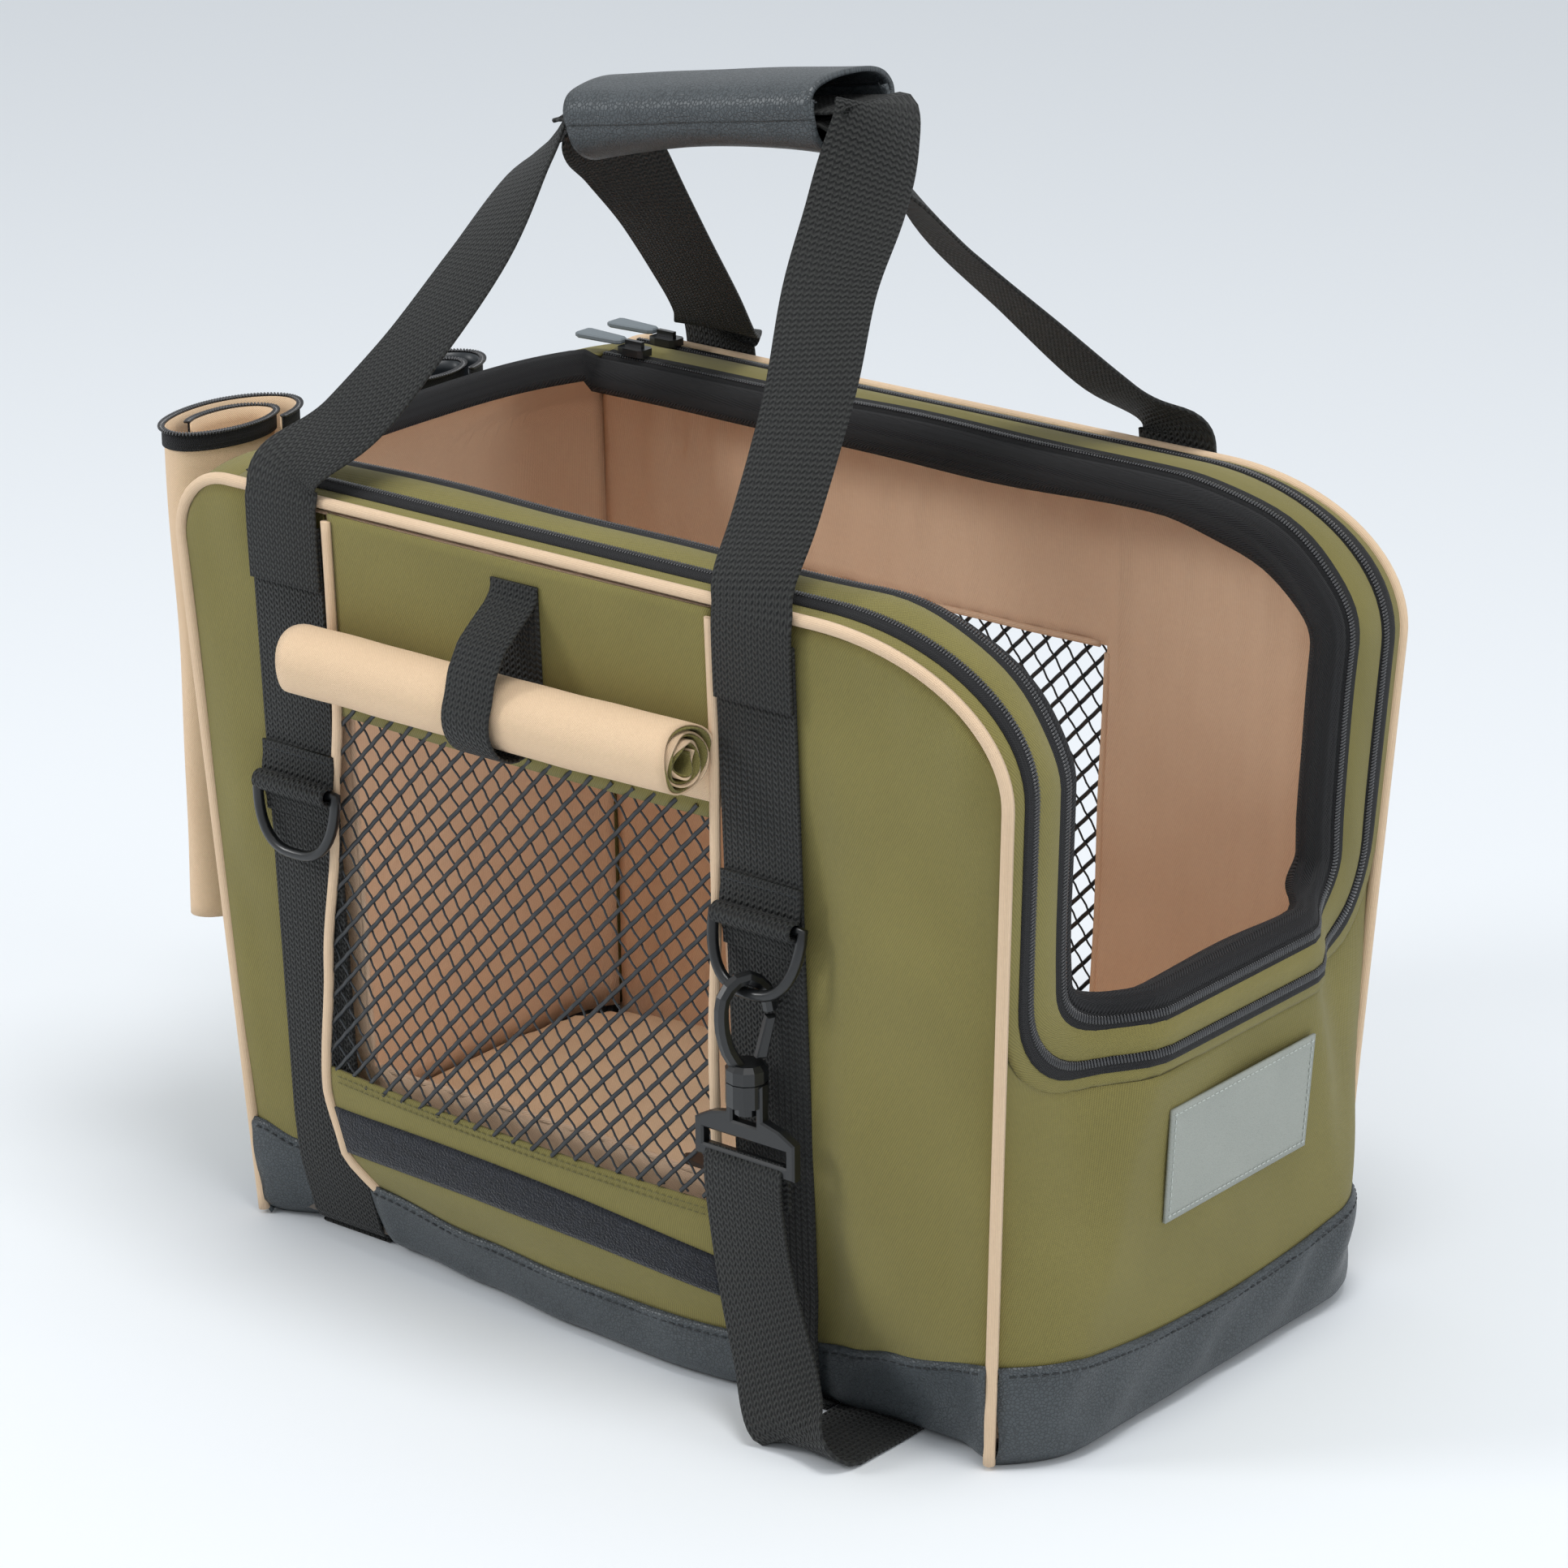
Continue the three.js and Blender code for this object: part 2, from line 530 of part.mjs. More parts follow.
// ---------------------------------------------------------------- snap hooks
const HOOK_LOW = 150; // underside of the hook's bow, above the collar
function snapHook() {
  const bow = new THREE.CatmullRomCurve3([
    [-3, HOOK_LOW - 2], [-7.6, HOOK_LOW + 6], [-10, HOOK_LOW + 18], [-8.4, HOOK_LOW + 29],
    [-0.5, HOOK_LOW + 34.6], [7.4, HOOK_LOW + 29.5], [9.8, HOOK_LOW + 20.5],
  ].map(([x, z]) => new THREE.Vector3(x, 0, z)));
  const section = new THREE.Shape().absellipse(0, 0, 3, 3, 0, 2 * Math.PI);
  const tube = new THREE.ExtrudeGeometry(section, { steps: 14, curveSegments: 4, extrudePath: bow });
  const stem = new THREE.LatheGeometry([
    [0, 129.2], [5, 129.2], [5, 132.8], [3, 132.8], [3, 143], [8.4, 143], [8.4, 148], [6.5, HOOK_LOW],
    [0, HOOK_LOW],
  ].map(([r, z]) => new THREE.Vector2(r, z)), 12).rotateX(Math.PI / 2);
  return join(tube, stem);
}
const GATE_PIVOT = [5.4, 153.4];
function hookGate() {
  const [px, pz] = GATE_PIVOT;
  return flat(shapeOf([
    [px - 2, pz - 2], [px + 2.4, pz - 2.4], [px + 6.2, pz + 14.4], [px + 2.4, pz + 14.4],
  ]), 4, 0.6);
}

// The eye: a boss that the hook's stem turns in, and a frame with a bar for the webbing.
const EYE = { bar0: 107, bar1: 112, slot: 118.5, half: 24.5, thick: 5 };
function hookEye() {
  const outer = [
    [-EYE.half, EYE.bar0], [EYE.half, EYE.bar0], [EYE.half, 122], [17, 126], [9, 128], [9, 142.6],
    [-9, 142.6], [-9, 128], [-17, 126], [-EYE.half, 122],
  ];
  const slot = rectangle(-WEBBING.width / 2 - 1.3, WEBBING.width / 2 + 1.3, EYE.bar1, EYE.slot);
  const headRoom = rectangle(-5.8, 5.8, 125, 133.2);
  const frame = flat(shapeOf(outer, slot, headRoom), EYE.thick, 0.8);
  const collar = new THREE.CylinderGeometry(8.4, 8.4, 9.4, 12).translate(0, 137.9, 0);
  const bore = new THREE.CylinderGeometry(3.4, 3.4, 14, 12).translate(0, 138, 0);
  const room = new THREE.CylinderGeometry(5.6, 5.6, 8.2, 12).translate(0, 129.1, 0);
  return cut(join(frame, collar), bore, room);
}
for (const [name, side] of sides) {
  const place = new THREE.Group();
  place.position.set(HOOK_X, side * HOOK_Y, 0);
  bag.add(place);
  add(`${name}_hook_eye`, uprightX(hookEye()), BLACK_PLASTIC, place);
  const turned = new THREE.Group();
  turned.rotation.z = -side * HOOK_TURN;
  place.add(turned);
  add(`${name}_snap_hook`, snapHook(), BLACK_PLASTIC, turned);
  add(`${name}_hook_gate`, uprightX(hookGate()), BLACK_PLASTIC, turned);
}

// ---------------------------------------------------------------- shoulder strap
// From the near hook's eye down to the floor, under the bag and up to the far hook's eye.
const FAR_LOOP_Y = 178;
function shoulderStrap() {
  const half = WEBBING.thick / 2;
  const route = new THREE.CatmullRomCurve3([
    [-HOOK_Y, 84], [-143, 62], [-149, 34], [-157, 12], [-150, 2.2], [-136, GAP + half + 0.2],
    [-100, GAP + half], [0, GAP + half], [100, GAP + half], [136, GAP + half + 0.2],
    [FAR_LOOP_Y - 12, 2.6], [FAR_LOOP_Y, 14], [166, 36], [148, 62], [HOOK_Y, 84],
  ].map(([y, z]) => new THREE.Vector3(y, z, 0)), false, 'centripetal');
  const steps = 64;
  const rows = Array.from({ length: steps + 1 }, (_, i) => {
    const p = route.getPoint(i / steps);
    const t = route.getTangent(i / steps);
    return { p, n: [-t.y, t.x] };
  });
  const offset = (by) => rows.map(({ p, n }) => [p.x + n[0] * by, p.y + n[1] * by]);
  const loop = (y, sign) => [
    [y - sign * 2, 96], [y - sign * 4.7, 103], [y - sign * 4.7, 114], [y + sign * 4.7, 114],
    [y + sign * 4.7, 103], [y + sign * 2, 96],
  ];
  const outerSide = offset(half);
  const innerSide = offset(-half).reverse();
  const points = [...outerSide, ...loop(HOOK_Y, 1), ...innerSide, ...loop(-HOOK_Y, 1)];
  const hole = (y) => rectangle(y - 2.9, y + 2.9, EYE.bar0 - 0.4, EYE.bar1 + 0.4);
  const band = flat(shapeOf(points, hole(-HOOK_Y), hole(HOOK_Y)), WEBBING.width);
  const drift = (z) => (SHOULDER_X - HOOK_X) * (1 - clamp(z / 84, 0, 1)) ** 1.5;
  return reshape(band, (y, z, x) => [HOOK_X + x + drift(z), y, z]);
}
add('shoulder_strap', shoulderStrap(), BLACK_WEBBING);

// ---------------------------------------------------------------- rolled window covers
const rollOut = KEEPER.thick + 2 * GAP + COVER_ROLL.radius + 0.3;
const KEEPER_TOP = 319;
const arc = (r, from, to, steps) => Array.from({ length: steps + 1 }, (_, k) => {
  const angle = degToRad(lerp(from, to, k / steps));
  return [r * Math.cos(angle), r * Math.sin(angle)];
});
for (const [name, side] of sides) {
  const rollY = side * (halfWidthAt(COVER_ROLL.z) + rollOut);
  const length = COVER_ROLL.x1 - COVER_ROLL.x0;
  const roll = new THREE.CylinderGeometry(COVER_ROLL.radius, COVER_ROLL.radius, length, 16);
  roll.rotateZ(Math.PI / 2);
  const middle = (COVER_ROLL.x0 + COVER_ROLL.x1) / 2;
  add(`${name}_cover_roll`, roll, TAN).position.set(middle, rollY, COVER_ROLL.z);

  // The keeper's back leg is sewn under the top seam, hangs behind the roll and turns under it.
  const inside = COVER_ROLL.radius + 0.6;
  const outside = inside + KEEPER.thick;
  const wall = (dz, off) => [-rollOut + dz * (BASE_INSET_Y / HEIGHT) + off, dz];
  const backLeg = [
    wall(KEEPER_TOP - COVER_ROLL.z, GAP), wall(KEEPER_TOP - COVER_ROLL.z, GAP + KEEPER.thick),
    ...arc(inside, 180, 265, 6), ...arc(outside, 265, 180, 6),
  ];
  const back = reshape(flat(shapeOf(backLeg), KEEPER.width), (out, z, x) => [x, side * out, z]);
  add(`${name}_keeper_back`, back, BLACK_WEBBING).position.set(KEEPER.x, rollY, COVER_ROLL.z);

  // Its front leg goes on round the roll and up the front, to fasten near the seam.
  const frontLeg = [
    ...arc(inside, -88, 25, 8), [5.5, 24], [-9, 44], [-9 + KEEPER.thick, 45], [7, 25],
    ...arc(outside, 25, -88, 8),
  ];
  const front = reshape(flat(shapeOf(frontLeg), KEEPER.width), (out, z, x) => [x, side * out, z]);
  add(`${name}_keeper_front`, front, BLACK_WEBBING).position.set(KEEPER.x, rollY, COVER_ROLL.z);
}

// ---------------------------------------------------------------- carry handles
// A ribbon of webbing through rows of [x, y, z, turn], where turn 0 lies along X and 1 along Y.
function ribbon(rows, side) {
  const curve = new THREE.CatmullRomCurve3(
    rows.map(([x, y, z]) => new THREE.Vector3(x, side * y, z)), false, 'centripetal',
  );
  const steps = 3 * (rows.length - 1);
  const rings = Array.from({ length: steps + 1 }, (_, i) => {
    const row = i / 3;
    const k = Math.min(Math.floor(row), rows.length - 2);
    const turn = lerp(rows[k][3], rows[k + 1][3], row - k) * Math.PI / 2;
    const centre = curve.getPoint(i / steps);
    const along = curve.getTangent(i / steps);
    const across = new THREE.Vector3(Math.cos(turn), side * -Math.sin(turn), 0);
    across.addScaledVector(along, -across.dot(along)).normalize();
    const face = new THREE.Vector3().crossVectors(along, across);
    return [[1, 1], [-1, 1], [-1, -1], [1, -1]].map(([a, b]) => centre.clone()
      .addScaledVector(across, -a * WEBBING.width / 2)
      .addScaledVector(face, b * WEBBING.thick / 2)
      .toArray());
  });
  return loft(rings);
}

const ridge = (x, lower) => HANDLE.z - lower + Math.tan(HANDLE.tilt) * (x - HANDLE.x);
// A handle from its rear seam, over the middle of the grip, to its front seam.
// Legs are [x, y, z, turn] rows from the seam up, and reach is how far the strap runs on past the
// grip before it turns down.
function handleRows({ rear, front, lower, reach }) {
  const left = HANDLE.x - HANDLE.length / 2 - reach;
  const right = HANDLE.x + HANDLE.length / 2 + reach;
  const seam = (x, turn, lean) => [
    [x, HANDLE.out, HANDLE.hinge, turn],
    [x, HANDLE.out - 0.6, HANDLE.hinge + 9, turn],
    [x + lean, HALF_WIDTH - 1, HANDLE.hinge + 21, turn],
  ];
  return [
    ...seam(REAR_STRAP_X, 2, 2),
    ...rear,
    [left, 1, ridge(left, lower) - 2.6, 1.1],
    [left + 16, 0, ridge(left + 16, lower), 1],
    [HANDLE.x, 0, ridge(HANDLE.x, lower), 1],
    [right - 16, 0, ridge(right - 16, lower), 1],
    [right, 1, ridge(right, lower) - 2.6, 0.9],
    ...[...front].reverse(),
    ...seam(FRONT_STRAP_X, 0, -2).reverse(),
  ];
}
const STACK = 4.4; // the far strap lies this far below the near one inside the grip
const nearHandle = handleRows({
  rear: [[-129, 114, 357, 1.96], [-116, 92, 383, 1.9], [-110, 58, 415, 1.82], [-112, 24, 444, 1.55]],
  front: [[86, 112, 360, 0.04], [76, 80, 396, 0.1], [62, 50, 428, 0.2], [55, 24, 456, 0.45]],
  lower: 0,
  reach: 9,
});
const farHandle = handleRows({
  rear: [[-129, 112, 348, 1.96], [-118, 88, 370, 1.9], [-106, 50, 408, 1.8], [-101, 24, 436, 1.55]],
  front: [[74, 114, 356, 0.06], [54, 86, 388, 0.14], [38, 56, 420, 0.22], [40, 24, 452, 0.45]],
  lower: STACK,
  reach: -4,
});
add('near_handle_strap', ribbon(nearHandle, -1), BLACK_WEBBING);
add('far_handle_strap', ribbon(farHandle, 1), BLACK_WEBBING);

// The leatherette grip holds both straps: a tray below, and a flap over the top.
const grip = new THREE.Group();
grip.position.set(HANDLE.x, 0, HANDLE.z);
grip.rotation.y = -HANDLE.tilt;
bag.add(grip);
const GRIP = { half: 23, low: -13.5, high: 7, thick: 2.2 };
const gripTray = shapeOf([
  [-GRIP.half, GRIP.high], [-GRIP.half, GRIP.low + 3], [-GRIP.half + 3, GRIP.low], [GRIP.half, GRIP.low],
  [GRIP.half, GRIP.low + GRIP.thick], [-GRIP.half + 4, GRIP.low + GRIP.thick],
  [-GRIP.half + GRIP.thick, GRIP.low + 4], [-GRIP.half + GRIP.thick, GRIP.high],
]);
const GRIP_LENGTH = HANDLE.length - 26;
add('grip_wrap', alongX(flat(gripTray, GRIP_LENGTH)), LEATHERETTE, grip);
const gripFlap = shapeOf([
  [-GRIP.half, GRIP.high + GAP], [-GRIP.half, GRIP.high + GAP + 1], [-GRIP.half + 3, GRIP.high + 3.4],
  [0, GRIP.high + 4.4], [GRIP.half - 3, GRIP.high + 3.4], [GRIP.half, GRIP.high], [GRIP.half, 2.4],
  [GRIP.half - GRIP.thick, 2.4], [GRIP.half - GRIP.thick, GRIP.high - 1],
  [GRIP.half - 4, GRIP.high + 1], [0, GRIP.high + 2.1], [-GRIP.half + 4, GRIP.high + 1.1],
  [-GRIP.half + 3, GRIP.high + GAP],
]);
add('grip_flap', alongX(flat(gripFlap, GRIP_LENGTH)), LEATHERETTE, grip);

// ---------------------------------------------------------------- rolled top flaps, at the back
function flapRoll(centreY, halfWidth, halfDepth, z0, z1) {
  const backAt = (z) => taper(HALF_LENGTH + BACK_BULGE, 0, z)[0];
  const ring = (z, grow) => Array.from({ length: 16 }, (_, k) => {
    const angle = k * Math.PI / 8;
    const x = -backAt(Math.min(z, HEIGHT)) - halfDepth - 2.5 + halfDepth * grow * Math.cos(angle);
    return [x, centreY + halfWidth * grow * Math.sin(angle), z];
  });
  return loft([ring(z0, 0.9), ring(lerp(z0, z1, 0.25), 1), ring(z1, 1)]);
}
add('outer_flap_roll', flapRoll(-75, 40, 17, 118, 333), TAN);
add('mesh_flap_roll', flapRoll(45, 34, 16, 160, 327), BLACK_TAPE);

// ---------------------------------------------------------------- label and tether
const patchYs = [-48, 0, 56];
const patch = (z, y, depth) => gusset(frontStation(z), y, depth);
add('label_patch', skin(patch, [84, 132], patchYs, -GAP - 1.6, -GAP), LABEL);

const TETHER = { width: 20, thick: 1.6, y: -30 };
function tether() {
  const rows = [[186, 78], [172, 60], [150, 40], [120, 35.7], [60, 35.7], [10, 35.7]];
  const curve = new THREE.CatmullRomCurve3(rows.map(([x, z]) => new THREE.Vector3(x, TETHER.y, z)));
  const rings = Array.from({ length: 16 }, (_, i) => {
    const centre = curve.getPoint(i / 15);
    const along = curve.getTangent(i / 15);
    const across = new THREE.Vector3(0, 1, 0);
    const face = new THREE.Vector3().crossVectors(along, across);
    return [[1, 1], [-1, 1], [-1, -1], [1, -1]].map(([a, b]) => centre.clone()
      .addScaledVector(across, a * TETHER.width / 2)
      .addScaledVector(face, b * TETHER.thick / 2)
      .toArray());
  });
  return loft(rings);
}
add('safety_tether', tether(), BLACK_WEBBING);
const clipOutline = [[-2, -9], [8, -9], [34, -5], [38, 0], [34, 5], [8, 9], [-2, 9]];
const clip = flat(shapeOf(clipOutline), 6, 1).rotateZ(Math.PI);
add('tether_clip', clip, BLACK_PLASTIC).position.set(5, TETHER.y, CUSHION_TOP + 3.4);

export default bag;
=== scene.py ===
"""The looks of a soft-sided pet carrier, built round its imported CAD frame.

Shapes are worked out in millimetres and turned into metres when a mesh is made.
The near side faces -Y, and the end with the wide opening faces +X.
"""

import math

import bpy
import numpy as np
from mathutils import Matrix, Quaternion, Vector


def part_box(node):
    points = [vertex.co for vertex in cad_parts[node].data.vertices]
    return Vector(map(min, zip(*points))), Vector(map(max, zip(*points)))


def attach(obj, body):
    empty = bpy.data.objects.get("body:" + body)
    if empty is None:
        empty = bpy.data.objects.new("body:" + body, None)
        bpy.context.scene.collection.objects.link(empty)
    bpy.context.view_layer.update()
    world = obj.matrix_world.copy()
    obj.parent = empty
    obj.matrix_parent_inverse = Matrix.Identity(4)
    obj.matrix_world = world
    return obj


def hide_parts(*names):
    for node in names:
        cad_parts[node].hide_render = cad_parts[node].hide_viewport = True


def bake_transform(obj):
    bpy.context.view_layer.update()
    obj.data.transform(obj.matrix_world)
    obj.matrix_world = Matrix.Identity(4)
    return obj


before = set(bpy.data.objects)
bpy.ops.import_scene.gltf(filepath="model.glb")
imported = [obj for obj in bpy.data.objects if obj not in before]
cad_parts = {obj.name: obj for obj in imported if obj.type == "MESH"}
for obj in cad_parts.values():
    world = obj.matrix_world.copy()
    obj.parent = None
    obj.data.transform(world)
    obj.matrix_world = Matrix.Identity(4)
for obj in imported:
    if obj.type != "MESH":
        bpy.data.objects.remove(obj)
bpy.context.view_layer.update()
scene = bpy.context.scene

# ---------------------------------------------------------------- driving dimensions, mm
HALF_LENGTH, HALF_WIDTH, HEIGHT = 210, 133, 328
BASE_INSET_X, BASE_INSET_Y = 19, 15
FRONT_CORNER = (90, 55)
BACK_CORNER = 30
FRONT_BULGE, BACK_BULGE, TOP_BULGE, BULGE_EDGE = 24, 14, 3, 40
PIPING_RADIUS = 2.5
WEBBING, WEBBING_THICK = 38, 1.6
REAR_STRAP_X, FRONT_STRAP_X = -146.5, 93.5
WINDOW = (-125, 69, 84, 242)
OPENING_BACK_X = -177
OUTER_ZIP_Y, INNER_ZIP_INSET, LIP_EDGE = 119, 22, 30
LIP_CORNER_Z, LIP_CORNER_R, LIP_SQUASH = 192, 34, 0.7
HOOK_X = 92.5
ROLL_Z, ROLL_RADIUS, ROLL_X = 268, 16, (-128, 71)
GRIP_CENTRE, GRIP_TILT, GRIP_HALF = (-30, 0, 476), math.radians(9), 23
CLOTH, LINING, LEATHER = 1.4, 1.0, 1.6
FLOOR_GAP = 0.4
PIPE_OUT, PIPE_RADIUS = 0.9, 2.3
RING_Z, RING_HALF, RING_DROP, WIRE_RADIUS = 206, 21.5, 28.6, 2.3
KEEPER_X, KEEPER_WIDTH, KEEPER_RADIUS = -24, 24, 17.4
COIL_PITCH = 1.35
SIDES = (("near", -1), ("far", 1))
STRAPS = (("rear", REAR_STRAP_X), ("front", FRONT_STRAP_X))
BOLD_STITCH = {"pitch": 4.2, "length": 3.0, "radius": 0.4}


def lerp(a, b, t):
    return a + (b - a) * t


def clamp(x, low=0.0, high=1.0):
    return max(low, min(high, x))


def smooth(x, low=0.0, high=1.0):
    t = clamp((x - low) / (high - low))
    return t * t * (3 - 2 * t)


def through(points, x):
    """Smooth value at x of a line through (x, value) points."""
    if x <= points[0][0]:
        return points[0][1]
    for (x0, v0), (x1, v1) in zip(points, points[1:]):
        if x <= x1:
            return lerp(v0, v1, smooth(x, x0, x1))
    return points[-1][1]


def ripple(a, b, seed=0):
    """A smooth, repeatable unevenness between -1 and 1 for cloth, from two lengths in mm."""
    total = 0.0
    for k, (fa, fb) in enumerate(((0.031, 0.017), (0.013, -0.037), (0.071, 0.043), (-0.023, 0.083))):
        total += math.sin(fa * a + fb * b + 1.7 * k + 2.3 * seed) / (1.4 + 0.5 * k)
    return total / 1.9


# ---------------------------------------------------------------- camera and light
def add_camera():
    target = Vector((-0.0015, -0.0012, 0.2014))
    azimuth, elevation, roll = (math.radians(a) for a in (39.105, 19.923, -0.38))
    distance = 2.2182
    flat = math.cos(elevation)
    back = Vector((math.sin(azimuth) * flat, -math.cos(azimuth) * flat, math.sin(elevation)))
    data = bpy.data.cameras.new("camera")
    data.lens = 125.78
    data.sensor_width = 36
    camera = bpy.data.objects.new("camera", data)
    camera.location = target + back * distance
    turn = back.to_track_quat("Z", "Y") @ Quaternion((0, 0, 1), roll)
    camera.rotation_euler = turn.to_euler()
    scene.collection.objects.link(camera)
    scene.camera = camera


def add_area(name, place, size, power, target=(0, 0, 0.2)):
    data = bpy.data.lights.new(name, "AREA")
    data.shape = "DISK"
    data.size = size
    data.energy = power
    lamp = bpy.data.objects.new(name, data)
    lamp.location = place
    aim = Vector(place) - Vector(target)
    lamp.rotation_euler = aim.to_track_quat("Z", "Y").to_euler()
    scene.collection.objects.link(lamp)


def add_studio():
    world = bpy.data.worlds.new("studio")
    scene.world = world
    world.use_nodes = True
    sky = world.node_tree.nodes["Background"]
    sky.inputs["Color"].default_value = (0.84, 0.87, 0.90, 1)
    sky.inputs["Strength"].default_value = 0.74
    add_area("key", (-1.7, -1.9, 1.7), 0.8, 22)
    add_area("front_fill", (2.7, 0.4, 1.3), 1.0, 10)
    add_area("top", (0.5, -0.2, 2.4), 0.9, 22)
    scene.view_settings.view_transform = "Standard"
    scene.view_settings.look = "None"


# ---------------------------------------------------------------- materials
class Look:
    """A node material with its Principled shader and a few shorthands. Its UV map is in mm."""

    def __init__(self, name, roughness, sheen=0.0, coat=0.0):
        self.material = bpy.data.materials.new(name)
        self.material.use_nodes = True
        self.nodes = self.material.node_tree.nodes
        self.links = self.material.node_tree.links
        self.shader = self.nodes["Principled BSDF"]
        self.set("Roughness", roughness)
        self.set("Sheen Weight", sheen)
        self.set("Sheen Roughness", 0.4)
        self.set("Coat Weight", coat)
        self.set("Coat Roughness", 0.25)
        uv = self.nodes.new("ShaderNodeUVMap")
        self.uv = uv.outputs["UV"]
        split = self.nodes.new("ShaderNodeSeparateXYZ")
        self.links.new(self.uv, split.inputs[0])
        self.u, self.v = split.outputs[0], split.outputs[1]

    def set(self, socket, value):
        if hasattr(value, "is_output"):
            self.links.new(value, self.shader.inputs[socket])
        else:
            self.shader.inputs[socket].default_value = value

    def math(self, operation, a, b=0.0, c=0.0):
        node = self.nodes.new("ShaderNodeMath")
        node.operation = operation
        for socket, value in zip(node.inputs, (a, b, c)):
            if hasattr(value, "is_output"):
                self.links.new(value, socket)
            else:
                socket.default_value = value
        return node.outputs[0]

    def wave(self, value, pitch):
        """A sine of the length, one period per pitch."""
        return self.math("SINE", self.math("MULTIPLY", value, 2 * math.pi / pitch))

    def noise(self, size, detail=3.0, coordinates=None):
        node = self.nodes.new("ShaderNodeTexNoise")
        node.inputs["Scale"].default_value = 1 / size
        node.inputs["Detail"].default_value = detail
        self.links.new(coordinates or self.uv, node.inputs["Vector"])
        return node.outputs[0]

    def mix(self, factor, dark, light):
        node = self.nodes.new("ShaderNodeMix")
        node.data_type = "RGBA"
        self.links.new(factor, node.inputs[0])
        for socket, colour in ((node.inputs[6], dark), (node.inputs[7], light)):
            if hasattr(colour, "is_output"):
                self.links.new(colour, socket)
            else:
                socket.default_value = (*colour, 1)
        return node.outputs[2]

    def ramp(self, value, low, high):
        node = self.nodes.new("ShaderNodeMapRange")
        node.inputs["From Min"].default_value = low
        node.inputs["From Max"].default_value = high
        self.links.new(value, node.inputs["Value"])
        return node.outputs[0]

    def bump(self, height, depth, strength=0.6):
        node = self.nodes.new("ShaderNodeBump")
        node.inputs["Strength"].default_value = strength
        node.inputs["Distance"].default_value = depth / 1000
        self.links.new(height, node.inputs["Height"])
        self.set("Normal", node.outputs[0])


def woven(name, dark, light, pitch=0.9, roughness=0.82, sheen=0.12, twill=0.0):
    """Plain weave of fine threads with slow colour changes. Twill slants every other thread."""
    look = Look(name, roughness, sheen)
    slant = look.math("MULTIPLY_ADD", look.v, twill, look.u)
    threads = look.math("MULTIPLY", look.wave(slant, pitch), look.wave(look.v, pitch))
    weave = look.ramp(threads, -1, 1)
    cloudy = look.noise(60, 2)
    fine = look.noise(2.2, 2)
    blend = look.math("MULTIPLY_ADD", weave, 0.62, look.math("MULTIPLY", cloudy, 0.35))
    blend = look.math("ADD", blend, look.math("MULTIPLY", fine, 0.22))
    look.set("Base Color", look.mix(blend, dark, light))
    look.set("Roughness", look.math("MULTIPLY_ADD", fine, 0.14, roughness - 0.07))
    look.bump(look.math("MULTIPLY_ADD", fine, 0.5, weave), 0.3, 0.7)
    return look.material


def knitted(name, dark, light, pitch=2.1, stitch=1.5, roughness=0.62, depth=0.5):
    """Webbing or tape: rows across its width, each of small slanted stitches. V runs along it."""
    look = Look(name, roughness, 0.05)
    zigzag = look.math("PINGPONG", look.u, stitch)
    rows = look.wave(look.math("MULTIPLY_ADD", zigzag, 0.8, look.v), pitch)
    stitches = look.wave(look.u, stitch)
    height = look.math("MULTIPLY_ADD", stitches, 0.35, rows)
    fine = look.noise(0.8, 2)
    shade = look.math("MULTIPLY", look.ramp(height, -1.3, 1.3), look.ramp(fine, 0.2, 0.75))
    look.set("Base Color", look.mix(shade, dark, light))
    look.set("Roughness", look.math("MULTIPLY_ADD", fine, 0.2, roughness - 0.1))
    look.bump(height, depth, 0.9)
    return look.material


def pebbled(name, dark, light, size=1.5, roughness=0.42, depth=0.25):
    """Leather or leatherette: rounded pebbles between fine creases, with worn, lighter patches."""
    look = Look(name, roughness, 0.0, 0.06)
    cells = look.nodes.new("ShaderNodeTexVoronoi")
    cells.feature = "DISTANCE_TO_EDGE"
    cells.inputs["Scale"].default_value = 1 / size
    warp = look.nodes.new("ShaderNodeVectorMath")
    warp.operation = "ADD"
    waver = look.nodes.new("ShaderNodeTexNoise")
    waver.inputs["Scale"].default_value = 0.5 / size
    look.links.new(look.uv, waver.inputs["Vector"])
    look.links.new(look.uv, warp.inputs[0])
    look.links.new(waver.outputs["Color"], warp.inputs[1])
    look.links.new(warp.outputs[0], cells.inputs["Vector"])
    pebble = look.ramp(cells.outputs["Distance"], 0.0, 0.16)
    worn = look.noise(28, 4)
    shade = look.math("MULTIPLY_ADD", pebble, 0.5, look.math("MULTIPLY", worn, 0.6))
    look.set("Base Color", look.mix(shade, dark, light))
    look.set("Roughness", look.math("MULTIPLY_ADD", worn, 0.25, roughness - 0.1))
    look.bump(look.math("MULTIPLY_ADD", look.noise(0.5, 2), 0.2, pebble), depth, 0.7)
    return look.material


def moulded(name, dark, light, roughness=0.3, coat=0.25):
    """Injection-moulded plastic or coated wire: fine spark texture and slight handling marks."""
    look = Look(name, roughness, 0.0, coat)
    grain = look.noise(0.6, 3)
    marks = look.noise(9, 4)
    look.set("Base Color", look.mix(marks, dark, light))
    look.set("Roughness", look.math("MULTIPLY_ADD", marks, 0.3, roughness - 0.12))
    look.bump(grain, 0.04, 0.35)
    return look.material


def fuzzy(name, dark, light):
    """The loop half of a hook-and-loop strip: matted, curly fibres."""
    look = Look(name, 0.95, 0.25)
    fibres = look.noise(1.1, 6)
    clumps = look.noise(4.5, 2)
    shade = look.math("MULTIPLY", look.ramp(fibres, 0.3, 0.7), look.ramp(clumps, 0.25, 0.75))
    look.set("Base Color", look.mix(shade, dark, light))
    look.bump(fibres, 1.2, 1.0)
    return look.material


